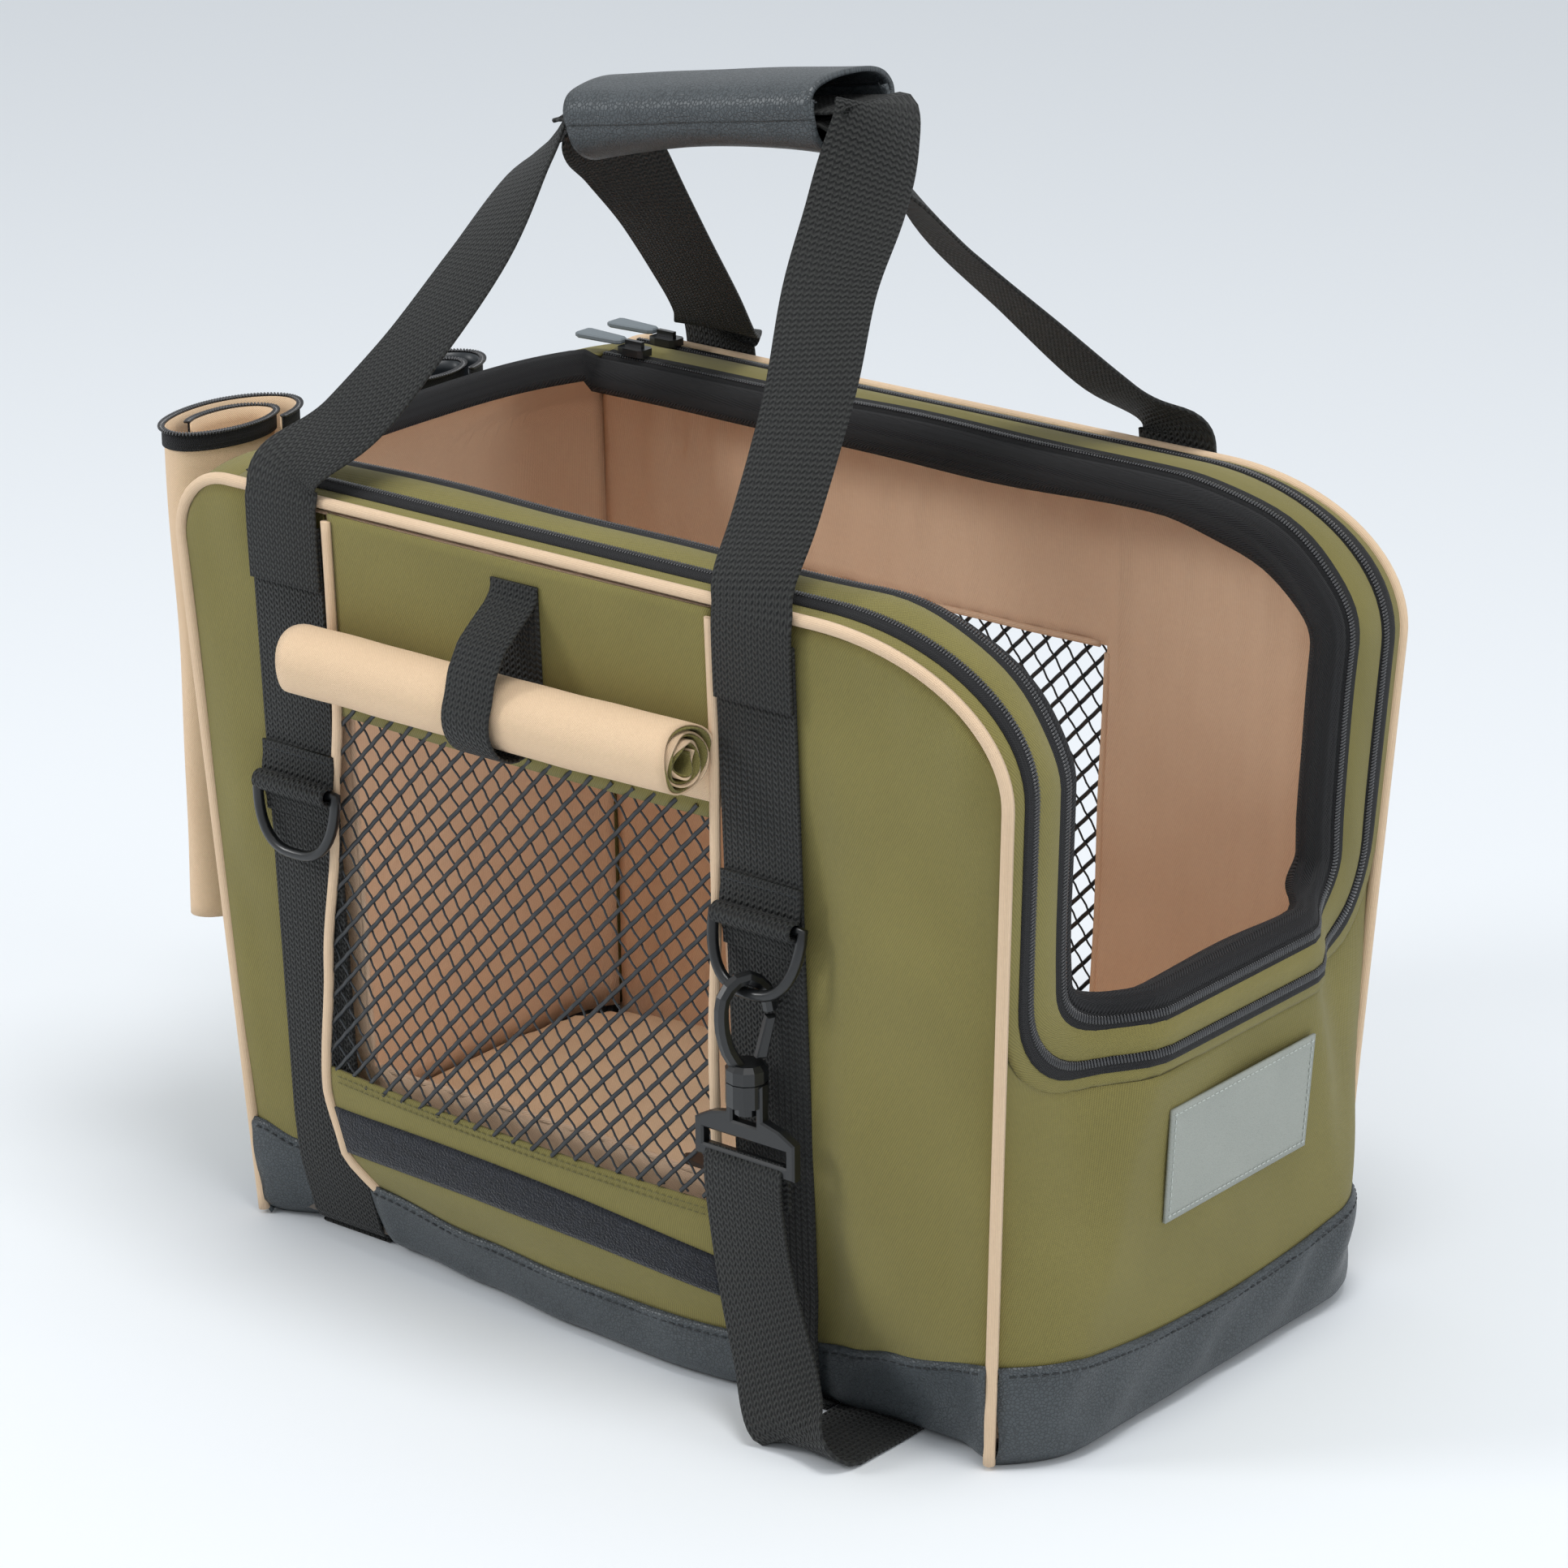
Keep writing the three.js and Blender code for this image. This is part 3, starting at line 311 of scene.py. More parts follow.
OLIVE = woven("olive_nylon", (0.095, 0.080, 0.016), (0.300, 0.258, 0.074), 1.0, twill=0.5)
TAN = woven("tan_nylon", (0.62, 0.42, 0.25), (0.93, 0.69, 0.46), 0.85)
SALMON = woven("salmon_lining", (0.70, 0.42, 0.26), (1.0, 0.74, 0.52), 0.9, twill=0.6)
STRAP = knitted("black_webbing", (0.002, 0.002, 0.002), (0.038, 0.041, 0.036), 2.6, 1.5, 0.68, 0.7)
TAPE = knitted("zip_tape", (0.002, 0.002, 0.003), (0.015, 0.015, 0.017), 0.9, 0.8, 0.85, 0.15)
BINDING = knitted("herringbone_binding", (0.002, 0.002, 0.003), (0.022, 0.021, 0.025), 1.6, 3.2, 0.85)
CORD_TAPE = woven("piping_tape", (0.66, 0.45, 0.27), (0.95, 0.72, 0.50), 0.7, twill=1.0)
LEATHERETTE = pebbled("leatherette", (0.010, 0.013, 0.015), (0.075, 0.088, 0.096), 1.5, 0.40)
LABEL = pebbled("label_leather", (0.27, 0.29, 0.26), (0.40, 0.42, 0.38), 0.7, 0.6, 0.06)
PLASTIC = moulded("black_plastic", (0.003, 0.0035, 0.004), (0.010, 0.011, 0.012))
COIL = moulded("zip_coil", (0.008, 0.008, 0.009), (0.040, 0.040, 0.044), 0.24, 0.6)
MESH = moulded("coated_mesh", (0.006, 0.008, 0.010), (0.024, 0.030, 0.036), 0.4, 0.1)
RUBBER = moulded("pull_rubber", (0.12, 0.145, 0.16), (0.22, 0.25, 0.27), 0.6, 0.0)
FUZZ = fuzzy("loop_strip", (0.002, 0.003, 0.006), (0.020, 0.024, 0.036))
THREAD_DARK = moulded("dark_thread", (0.006, 0.007, 0.008), (0.03, 0.035, 0.04), 0.6, 0.0)
THREAD_OLIVE = moulded("olive_thread", (0.09, 0.08, 0.025), (0.19, 0.17, 0.06), 0.7, 0.0)
THREAD_PALE = moulded("pale_thread", (0.42, 0.45, 0.42), (0.60, 0.64, 0.60), 0.6, 0.0)
BOARD = woven("board_felt", (0.07, 0.055, 0.045), (0.14, 0.12, 0.10), 2.0)


# ---------------------------------------------------------------- meshes
def make(name, points, faces, uvs, material, body="root", slot=None, replaces=()):
    """A mesh object from millimetre points, with one UV pair in mm per point. It takes its
    material. The slot argument is not used. A piece with no body is left without a parent."""
    data = bpy.data.meshes.new(name)
    data.from_pydata([tuple(0.001 * c for c in p) for p in points], [], faces)
    layer = data.uv_layers.new(name="UVMap")
    corner_points = np.zeros(len(data.loops), np.int32)
    data.loops.foreach_get("vertex_index", corner_points)
    layer.data.foreach_set("uv", np.asarray(uvs, float)[corner_points].ravel())
    data.polygons.foreach_set("use_smooth", np.ones(len(data.polygons), bool))
    data.materials.append(material)
    data.update()
    piece = bpy.data.objects.new(name, data)
    scene.collection.objects.link(piece)
    if body:
        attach(piece, body)
    if replaces:
        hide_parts(*replaces)
    return piece


def lengths(grid):
    """UVs of a grid of points: the length run along each of its two directions."""
    run_u = np.zeros(grid.shape[:2])
    run_v = np.zeros(grid.shape[:2])
    run_u[1:] = np.cumsum(np.linalg.norm(np.diff(grid, axis=0), axis=2), axis=0)
    run_v[:, 1:] = np.cumsum(np.linalg.norm(np.diff(grid, axis=1), axis=2), axis=1)
    return np.stack([run_u, run_v], axis=2)


def facing(grid, front):
    """A grid as an array, turned over unless its front already is on the outside."""
    grid = np.array(grid)
    return grid if front else grid[::-1]


def surface(us, vs, point):
    """A grid of the points that a function gives for every u and v."""
    return np.array([[point(u, v) for v in vs] for u in us])


def cloth(name, grid, thick, material, keep=None, around=False, **facts):
    """A cloth sheet through a grid of points, with its thickness going to the back of the grid.

    The front is on the side that (first direction x second direction) points to. Keep(i, j) says
    which cells there are, and around closes the second direction.
    """
    grid = np.asarray(grid, float)
    rows, columns = grid.shape[:2]
    faces = []
    for i in range(rows - 1):
        for j in range(columns - (0 if around else 1)):
            if keep is None or keep(i, j):
                k = (j + 1) % columns
                faces.append((i * columns + j, (i + 1) * columns + j, (i + 1) * columns + k,
                              i * columns + k))
    used = sorted({v for f in faces for v in f})
    place = {v: n for n, v in enumerate(used)}
    faces = [tuple(place[v] for v in f) for f in faces]
    points = grid.reshape(-1, 3)[used]
    piece = make(name, points, faces, lengths(grid).reshape(-1, 2)[used], material, **facts)
    if thick:
        solid = piece.modifiers.new("thickness", "SOLIDIFY")
        solid.thickness = thick / 1000
        solid.offset = -1
        solid.use_even_offset = False
    return piece


def frames(path, up=(0, 0, 1), closed=False):
    """Tangents and two cross directions along a path, the first kept close to up."""
    path = np.asarray(path, float)
    if closed:
        along = np.roll(path, -1, axis=0) - np.roll(path, 1, axis=0)
    else:
        along = np.gradient(path, axis=0)
    along /= np.maximum(np.linalg.norm(along, axis=1, keepdims=True), 1e-9)
    ups = np.broadcast_to(np.asarray(up, float), path.shape)
    across = np.cross(along, ups)
    across /= np.maximum(np.linalg.norm(across, axis=1, keepdims=True), 1e-9)
    return along, np.cross(across, along), across


def spline(points, steps):
    """A smooth curve through points, as many steps between each two."""
    points = np.asarray(points, float)
    ends = np.vstack([2 * points[0] - points[1], points, 2 * points[-1] - points[-2]])
    result = []
    for k in range(1, len(ends) - 2):
        p0, p1, p2, p3 = ends[k - 1:k + 3]
        for i in range(steps):
            t = i / steps
            result.append(0.5 * (2 * p1 + (p2 - p0) * t + (2 * p0 - 5 * p1 + 4 * p2 - p3) * t ** 2
                                 + (3 * p1 - p0 - 3 * p2 + p3) * t ** 3))
    result.append(points[-1])
    return np.array(result)


def run_along(path):
    """The length run along a path at each of its points."""
    return np.concatenate([[0], np.cumsum(np.linalg.norm(np.diff(path, axis=0), axis=1))])


def resample(path, pitch):
    """Points at an even pitch along a path."""
    path = np.asarray(path, float)
    run = run_along(path)
    count = max(2, int(round(run[-1] / pitch)) + 1)
    at = np.linspace(0, run[-1], count)
    return np.stack([np.interp(at, run, path[:, k]) for k in range(3)], axis=1)


def tube_faces(count, sides, closed=False, capped=True):
    """Faces between a count of rings of points, and of the two end caps."""
    faces = []
    for i in range(count if closed else count - 1):
        for j in range(sides):
            k, n = (j + 1) % sides, (i + 1) % count
            faces.append((i * sides + j, i * sides + k, n * sides + k, n * sides + j))
    if capped and not closed:
        faces.append(tuple(reversed(range(sides))))
        faces.append(tuple((count - 1) * sides + j for j in range(sides)))
    return faces


def sweep(name, path, section, material, up=(0, 0, 1), closed=False, **facts):
    """A solid of one section, (across, up) pairs, along a path."""
    path = np.asarray(path, float)
    _, ups, across = frames(path, up, closed)
    section = np.asarray(section, float)
    points = path[:, None] + (section[None, :, :1] * across[:, None]
                              + section[None, :, 1:] * ups[:, None])
    rim = np.linalg.norm(np.roll(section, -1, axis=0) - section, axis=1)
    round_it = np.concatenate([[0], np.cumsum(rim)[:-1]])
    uvs = np.stack(np.broadcast_arrays(round_it[None, :], run_along(path)[:, None]), axis=2)
    faces = tube_faces(len(path), len(section), closed)
    return make(name, points.reshape(-1, 3), faces, uvs.reshape(-1, 2), material, **facts)


def ring(radius, sides=10, flat=1.0):
    turn = [2 * math.pi * k / sides for k in range(sides)]
    return [(radius * math.cos(a), radius * flat * math.sin(a)) for a in turn]


def band(width, thick):
    """Section of a strap with rounded edges: across, then up."""
    w, t = width / 2, thick / 2
    e = min(t, w) * 0.8
    return [(-w, -t + e), (-w + e * 0.4, -t + 0.3 * e), (-w + e, -t), (0, -t), (w - e, -t),
            (w - e * 0.4, -t + 0.3 * e), (w, -t + e), (w, t - e), (w - e * 0.4, t - 0.3 * e),
            (w - e, t), (0, t), (-w + e, t), (-w + e * 0.4, t - 0.3 * e), (-w, t - e)]


def scatter(name, places, shape, faces, material, **facts):
    """Many copies of one small solid: places are (origin, x, y, z) directions."""
    shape = np.asarray(shape, float)
    points, all_faces = [], []
    for n, (origin, x, y, z) in enumerate(places):
        points.append(origin + shape[:, :1] * x + shape[:, 1:2] * y + shape[:, 2:] * z)
        all_faces += [tuple(n * len(shape) + v for v in f) for f in faces]
    points = np.concatenate(points)
    return make(name, points, all_faces, points[:, [0, 2]] + points[:, [1, 1]], material, **facts)


def bead(length, radius, sides=6):
    """A small rounded capsule along X: its points and faces."""
    profile = ((-0.5, 0.35), (-0.38, 0.9), (0.0, 1.0), (0.38, 0.9), (0.5, 0.35))
    points = []
    for x, r in profile:
        for k in range(sides):
            a = 2 * math.pi * k / sides
            points.append((x * length, r * radius * math.cos(a), r * radius * math.sin(a)))
    return points, tube_faces(len(profile), sides)


def stitching(name, path, material, up=(0, 0, 1), pitch=3.2, length=2.3, radius=0.32, **facts):
    """A run of sewn stitches lying on a path."""
    path = resample(path, pitch)
    along, ups, across = frames(path, up)
    points, faces = bead(length, radius)
    places = list(zip(path, along, across, ups))
    return scatter(name, places, points, faces, material, **facts)


def coil(name, path, up, width, **facts):
    """The coil of a zip: a close row of round loops across its path, one at each of its points."""
    along, ups, across = frames(path, up)
    points, faces = bead(width, 0.62, 7)
    places = [(p, c + 0.22 * a, a, 1.25 * u) for p, a, u, c in zip(path, along, ups, across)]
    return scatter(name, places, points, faces, COIL, **facts)


# ---------------------------------------------------------------- the body's surfaces
def half_width(z):
    return HALF_WIDTH - BASE_INSET_Y * (1 - z / HEIGHT)


def taper(x, y, z):
    low = 1 - z / HEIGHT
    return (x * (1 - BASE_INSET_X / HALF_LENGTH * low), y * (1 - BASE_INSET_Y / HALF_WIDTH * low), z)


def outline(s):
    """The side outline: 0-1 up the front end, 1-2 round its corner, 2-3 back along the top,
    3-4 round the back corner and 4-5 down the back end, as x, z and the outward normal."""
    stage = min(int(s), 4)
    t = s - stage
    front_x, back_x = HALF_LENGTH - FRONT_CORNER[0], BACK_CORNER - HALF_LENGTH

    def corner(cx, cz, a, b, angle):
        nx, nz = math.cos(angle) / a, math.sin(angle) / b
        n = math.hypot(nx, nz)
        return cx + a * math.cos(angle), cz + b * math.sin(angle), nx / n, nz / n

    if stage == 0:
        return HALF_LENGTH, lerp(0, HEIGHT - FRONT_CORNER[1], t), 1, 0
    if stage == 1:
        return corner(front_x, HEIGHT - FRONT_CORNER[1], *FRONT_CORNER, t * math.pi / 2)
    if stage == 2:
        return lerp(front_x, back_x, t), HEIGHT, 0, 1
    if stage == 3:
        angle = (1 + t) * math.pi / 2
        return corner(back_x, HEIGHT - BACK_CORNER, BACK_CORNER, BACK_CORNER, angle)
    return -HALF_LENGTH, lerp(HEIGHT - BACK_CORNER, 0, t), -1, 0


def front_station(z):
    return z / (HEIGHT - FRONT_CORNER[1])


def back_station(z):
    return 5 - z / (HEIGHT - BACK_CORNER)


def top_station(x):
    return 2 + (HALF_LENGTH - FRONT_CORNER[0] - x) / (2 * HALF_LENGTH - FRONT_CORNER[0] - BACK_CORNER)


def gusset(s, y, depth):
    """A point of the end and border panels, at width y and a depth below their outer face."""
    x, z, nx, nz = outline(s)
    edge = max(0.0, (abs(y) - (HALF_WIDTH - BULGE_EDGE)) / BULGE_EDGE)
    outer = smooth(abs(y), 50, 100)
    ahead = FRONT_BULGE * (1 - 0.95 * smooth(z, lerp(148, 40, outer), lerp(245, 190, outer)))
    full = (ahead if nx > 0 else BACK_BULGE) * nx ** 2 + TOP_BULGE * nz ** 2
    out = full * (1 - edge ** 2) - depth
    return taper(x + nx * out, y, z + nz * out)


def droop(s, y):
    """How far the soft lip sinks between its free edge and the zips."""
    free = smooth(s, 0.62, 0.9) * (1 - smooth(s, 3.0, 3.3))
    inner = max(0.0, (104 - abs(y)) / 20) ** 1.5 * smooth(s, 1.2, 2.0)
    wave = 1.9 * ripple(210 * s, 0.5 * y, 3) * smooth(OUTER_ZIP_Y - abs(y), 2, 20)
    lean = 4.0 * max(0.0, (124 - abs(y)) / 35) * (1 - smooth(s, 1.3, 1.9)) * smooth(abs(y), 60, 84)
    return free * (4.5 * min(inner, 1.6) + wave) + lean * smooth(s, 0.6, 0.8)


def lip(s, y, depth):
    """The gusset surface with the droop and the small waves of the unfastened opening."""
    return gusset(s, y, depth + droop(s, y))


def top_height(x, inset):
    """Height of the side outline above x, before the taper."""
    a, b = FRONT_CORNER[0] - inset, FRONT_CORNER[1] - inset
    r = BACK_CORNER - inset
    front_x, back_x = HALF_LENGTH - FRONT_CORNER[0], BACK_CORNER - HALF_LENGTH
    if x > front_x:
        return HEIGHT - FRONT_CORNER[1] + b * math.sqrt(max(0, 1 - ((x - front_x) / a) ** 2))
    if x < back_x:
        return HEIGHT - BACK_CORNER + math.sqrt(max(0, r * r - (x - back_x) ** 2))
    return HEIGHT - inset


REAR_PIPE = [(9, -97), (27, -118), (48, -134), (75, -141), (130, -136), (190, -130), (250, -124.5),
             (318, -124)]
FRONT_PIPE = [(4, 100), (32, 84), (66, 74), (110, 69), (150, 68), (220, 70), (280, 72), (318, 72)]
BOOT_EDGE = [(-210, 46), (-187, 45), (-168, 40), (-127, 34), (-60, 28), (10, 26), (50, 26), (100, 28),
             (123, 31), (147, 36), (196, 45), (210, 46)]
FOOT_TUCK = [(-190, 1.5), (-164, 11), (-112, 14), (-69, 8), (-15, 1), (39, -1.5), (87, 2), (146, 8),
             (172, 8), (191, 1)]


def belly(x, z):
    """How far the soft side stands proud of its plain wall, and how far it tucks in at the foot."""
    middle = max(0.0, 1 - ((x + 28) / 112) ** 2)
    sag = smooth(z, 8, 60) * (1 - smooth(z, 90, 250))
    shoulder = max(0.0, 1 - ((x - 152) / 44) ** 2) * smooth(z, 20, 90) * (1 - smooth(z, 190, 320))
    heel = max(0.0, 1 - ((x + 186) / 22) ** 2) * smooth(z, 40, 110) * (1 - smooth(z, 180, 290))
    tuck = through(FOOT_TUCK, x) * (1 - smooth(z, -8, 58))
    return 5.0 * middle * sag + 5.5 * shoulder + 1.8 * heel - tuck


def wall(side, x, z, out=0.0):
    return (x, side * (half_width(z) + belly(x, z) + out), z)


def boot_lap(x):
    """How far the boot stands out to lap over the foot of the window panel."""
    return 7.4 * smooth(x, -134, -118) * (1 - smooth(x, 78, 92))


def boot_turn(t, height):
    """How far the boot, t of the way up, rolls in above the floor and turns in at its top edge."""
    return 6.5 * max(0.0, 1 - t * height / 8) ** 2 + 1.6 * max(0, t - 0.93) / 0.07


def puff(u):
    """How far the window panel is pulled out between its two edges."""
    return 1.6 * math.sin(math.pi * u) ** 0.6 if 0 < u < 1 else 0.0


def back_rim(y, half):
    """Station of the opening's back edge, which bows backwards between its two corners."""
    return 2.99 + 0.47 * max(0.0, 1 - (y / half) ** 2)


def end_station(z, sign):
    return front_station(z) if sign > 0 else back_station(z)


def pillow(distance, depth=2.4, reach=7.0):
    """How far cloth rolls in where it meets a seam."""
    return depth * math.exp(-max(distance, 0.0) / reach)


# ---------------------------------------------------------------- the soft body
def panel_grid(side, x0, x1, z0, out, columns, inset=1.4, rows=50):
    """Outer cloth of a side between two lengths, up to the rounded top outline. The end that
    lies on the outline leans with it, and the cloth rolls in along its seams."""
    grid = []
    for i in range(columns + 1):
        a = 0.5 - 0.5 * math.cos(math.pi * i / columns)
        x = lerp(x0, x1, a)
        lean = (x1 if abs(x1) > abs(x0) else x0) * BASE_INSET_X / HALF_LENGTH
        share = a if abs(x1) > abs(x0) else 1 - a
        top = top_height(x, inset)
        line = []
        for j in range(rows + 1):
            z = lerp(z0, top, j / rows)
            px = x - share * lean * (1 - z / HEIGHT)
            end = abs(abs(x) - HALF_LENGTH + inset)
            roll = max(pillow(top - z, 1.8, 6), pillow(end, 1.8, 6))
            fold = 0.9 * math.sin(0.34 * px + 2.2 * math.sin(0.05 * px)) * math.exp(-(top - z) / 16)
            valley = 2.6 * math.exp(-((px - 119) / 8) ** 2) * smooth(z, 20, 70)
            valley *= 1 - smooth(z, 200, 300)
            soft = 3.0 * ripple(px, z, 5 + side) * smooth(z, 20, 90) * smooth(end, 1, 22)
            soft = soft - valley + fold * smooth(top - z, 0, 5)
            line.append(wall(side, px, z, out - roll + soft))
        grid.append(line)
    return facing(grid, side < 0)


def panel_out(z):
    """How far the window panel stands proud: it laps over the straps near the floor."""
    return lerp(6.0, 1.4, smooth(z, 90, 215))


def window_grid(side, z0, z1, columns=44, rows=20, out=0.0, x0=None, x1=None):
    grid = []
    for i in range(columns + 1):
        line = []
        for j in range(rows + 1):
            t, u = j / rows, i / columns
            low = z0(u) if callable(z0) else z0
            high = z1(u) if callable(z1) else z1
            z = lerp(low, high, t)
            left = through(REAR_PIPE, z) if x0 is None else x0
            right = through(FRONT_PIPE, z) if x1 is None else x1
            x = lerp(left, right, u)
            line.append(wall(side, x, z, panel_out(z) + out + puff(u) + 0.5 * ripple(x, z, 2)))
        grid.append(line)
    return facing(grid, side < 0)


def boot_edge(x):
    return through(BOOT_EDGE, x)


def end_edge(y):
    """Height of the leatherette on the ends: it dips between the corners."""
    return 44 - 8 * max(0.0, 1 - (y / 105) ** 2)


def add_side(name, side):
    back_panel = panel_grid(side, -HALF_LENGTH + 1.4, -130, 26, 0.4, columns=26)
    cloth(f"{name}_rear_panel", back_panel, CLOTH, OLIVE, replaces=(f"{name}_side_panel",))
    front_panel = panel_grid(side, 76, HALF_LENGTH - 1.4, 26, 0.4, columns=40)
    cloth(f"{name}_front_panel", front_panel, CLOTH, OLIVE)
    cloth(f"{name}_window_panel_top", window_grid(side, 240, 325), CLOTH, OLIVE)
    cloth(f"{name}_window_panel_foot", window_grid(side, 18, lambda u: 84 - 4 * u), CLOTH, OLIVE)
    strip = window_grid(side, lambda u: 47 + 4 * math.sin(3.3 * u) - 6 * u,
                        lambda u: 66.5 + 2 * math.sin(4 * u) - 8 * u ** 3, 60, 8, 1.1, -137, 69)
    cloth(f"{name}_loop_strip", strip, 1.6, FUZZ, replaces=(f"{name}_hook_strip",))
    for label, pipe in (("rear", REAR_PIPE), ("front", FRONT_PIPE)):
        heights = np.linspace(pipe[0][0] + 6, 322, 70)
        path = [wall(side, through(pipe, z), z, panel_out(z) + PIPE_OUT) for z in heights]
        sweep(f"{name}_{label}_window_piping", path, ring(PIPE_RADIUS, 10, 0.8), CORD_TAPE,
              up=(0, side, 0))
    for drop in (2.2, 5.0):
        line = [wall(side, x, lerp(84, 80, (x + 135) / 200) - drop, panel_out(82) + 1.9)
                for x in np.linspace(-132, 62, 60)]
        stitching(f"{name}_mesh_seam_{int(drop)}", line, THREAD_OLIVE, (0, side, 0))
    add_mesh(name, side)
    add_boot_side(name, side)
    add_lining(name, side)


def add_mesh(name, side):
    """Coated mesh: thick strands that slant one way, woven over thin ones."""
    low, high = 80, 246
    strands = []
    for angle, pitch, width, thick, depth in ((46, 7.5, 1.9, 1.1, 0.5), (128, 8.7, 1.1, 0.8, -0.5)):
        a = math.radians(angle)
        direction = (math.cos(a), math.sin(a))
        normal = (-direction[1], direction[0])
        for n in range(-40, 41):
            points = []
            base = (-30 + normal[0] * n * pitch, 160 + normal[1] * n * pitch)
            for t in np.arange(-190, 191, 2.4):
                x, z = base[0] + direction[0] * t, base[1] + direction[1] * t
                if not low <= z <= high:
                    continue
                if not through(REAR_PIPE, z) + 0.5 <= x <= through(FRONT_PIPE, z) - 0.5:
                    continue
                swell = puff(clamp((x + 135) / 203, 0.01, 0.99))
                weave = 0.35 * math.sin(2 * math.pi * t / 9.3)
                points.append(wall(side, x, z, panel_out(z) - 0.6 + depth + weave + swell))
            if len(points) > 2:
                strands.append((points, width, thick))
    points, faces, uvs = [], [], []
    for path, width, thick in strands:
        path = np.array(path)
        _, ups, across = frames(path, (0, side, 0))
        section = np.array(ring(1.0, 6)) * (width / 2, thick / 2)
        start = len(points)
        for p, u, c in zip(path, ups, across):
            for sx, sz in section:
                points.append(p + sx * c + sz * u)
                uvs.append((p[0] + 7 * sx, p[2]))
        faces += [tuple(start + v for v in face) for face in tube_faces(len(path), 6, capped=False)]
    make(f"{name}_window_mesh_strands", points, faces, uvs, MESH,
         replaces=(f"{name}_window_mesh",))


def add_boot_side(name, side):
    """Lower outer shell of one side, its top edge curved, rounded in towards the floor."""
    grid = []
    for station in np.linspace(-209, 209, 110):
        x = station * (1 - BASE_INSET_X / HALF_LENGTH * 0.94)
        top = boot_edge(x)
        under = 1.9 * max(0, *(1 - abs((x - strap_x) / 24) ** 6 for _, strap_x in STRAPS))
        line = []
        for t in np.linspace(0, 1, 15):
            z = lerp(FLOOR_GAP + under, top, t)
            crease = 0.8 * math.sin(0.11 * (x + 1.3 * z) + 2 * ripple(x, z, 8)) * smooth(t, 0.1, 0.5)
            px = station * (1 - BASE_INSET_X / HALF_LENGTH * (1 - z / HEIGHT))
            out = 2.2 + boot_lap(x) - boot_turn(t, top) + crease * (1 - smooth(t, 0.8, 1))
            line.append(wall(side, px, z, out))
        grid.append(line)
    cloth(f"{name}_boot", facing(grid, side < 0), LEATHER, LEATHERETTE, replaces=("base_boot",))
    line = [wall(side, x, boot_edge(x) - 3.4, 2.5 + boot_lap(x)) for x in np.linspace(-188, 188, 160)]
    stitching(f"{name}_boot_seam", line, THREAD_DARK, (0, side, 0), slot="leatherette", **BOLD_STITCH)


def add_boot_ends():
    for label, sign in (("front", 1), ("back", -1)):
        def skin(y, t):
            z = lerp(FLOOR_GAP, end_edge(y), t)
            crease = 1.5 * math.sin(0.12 * (y - 1.2 * z) + 2 * ripple(y, z, 4)) * smooth(t, 0, 0.5)
            depth = boot_turn(t, end_edge(y)) - 2.2 - crease * (1 - smooth(t, 0.8, 1))
            return gusset(end_station(z, sign), y, depth)

        grid = surface(np.linspace(-131.5, 131.5, 76), np.linspace(0, 1, 15), skin)
        cloth(f"{label}_boot", facing(grid, sign > 0), LEATHER, LEATHERETTE)
        line = [gusset(end_station(end_edge(y) - 3.4, sign), y, -2.6)
                for y in np.linspace(-128, 128, 110)]
        stitching(f"{label}_boot_seam", line, THREAD_DARK, (sign, 0, 0), slot="leatherette",
                  **BOLD_STITCH)
    loop = []
    for side, end in ((-1, 0), (1, 5)):
        loop += [wall(side, x, FLOOR_GAP, -4.0) for x in np.linspace(180 * side, -180 * side, 40)]
        loop += [gusset(end, y, 4.2) for y in np.linspace(106 * side, -106 * side, 20)]
    loop = np.array(loop)
    rings = []
    for share in (1.0, 0.97, 0.85, 0.6, 0.3, 0.02):
        shrunk = loop * (share, share, 1)
        shrunk[:, 2] = 0.6 + 1.6 * (1 - abs(share - 0.6)) * 0.6
        rings.append(shrunk)
    cloth("boot_floor", np.array(rings), 1.5, LEATHERETTE, around=True)


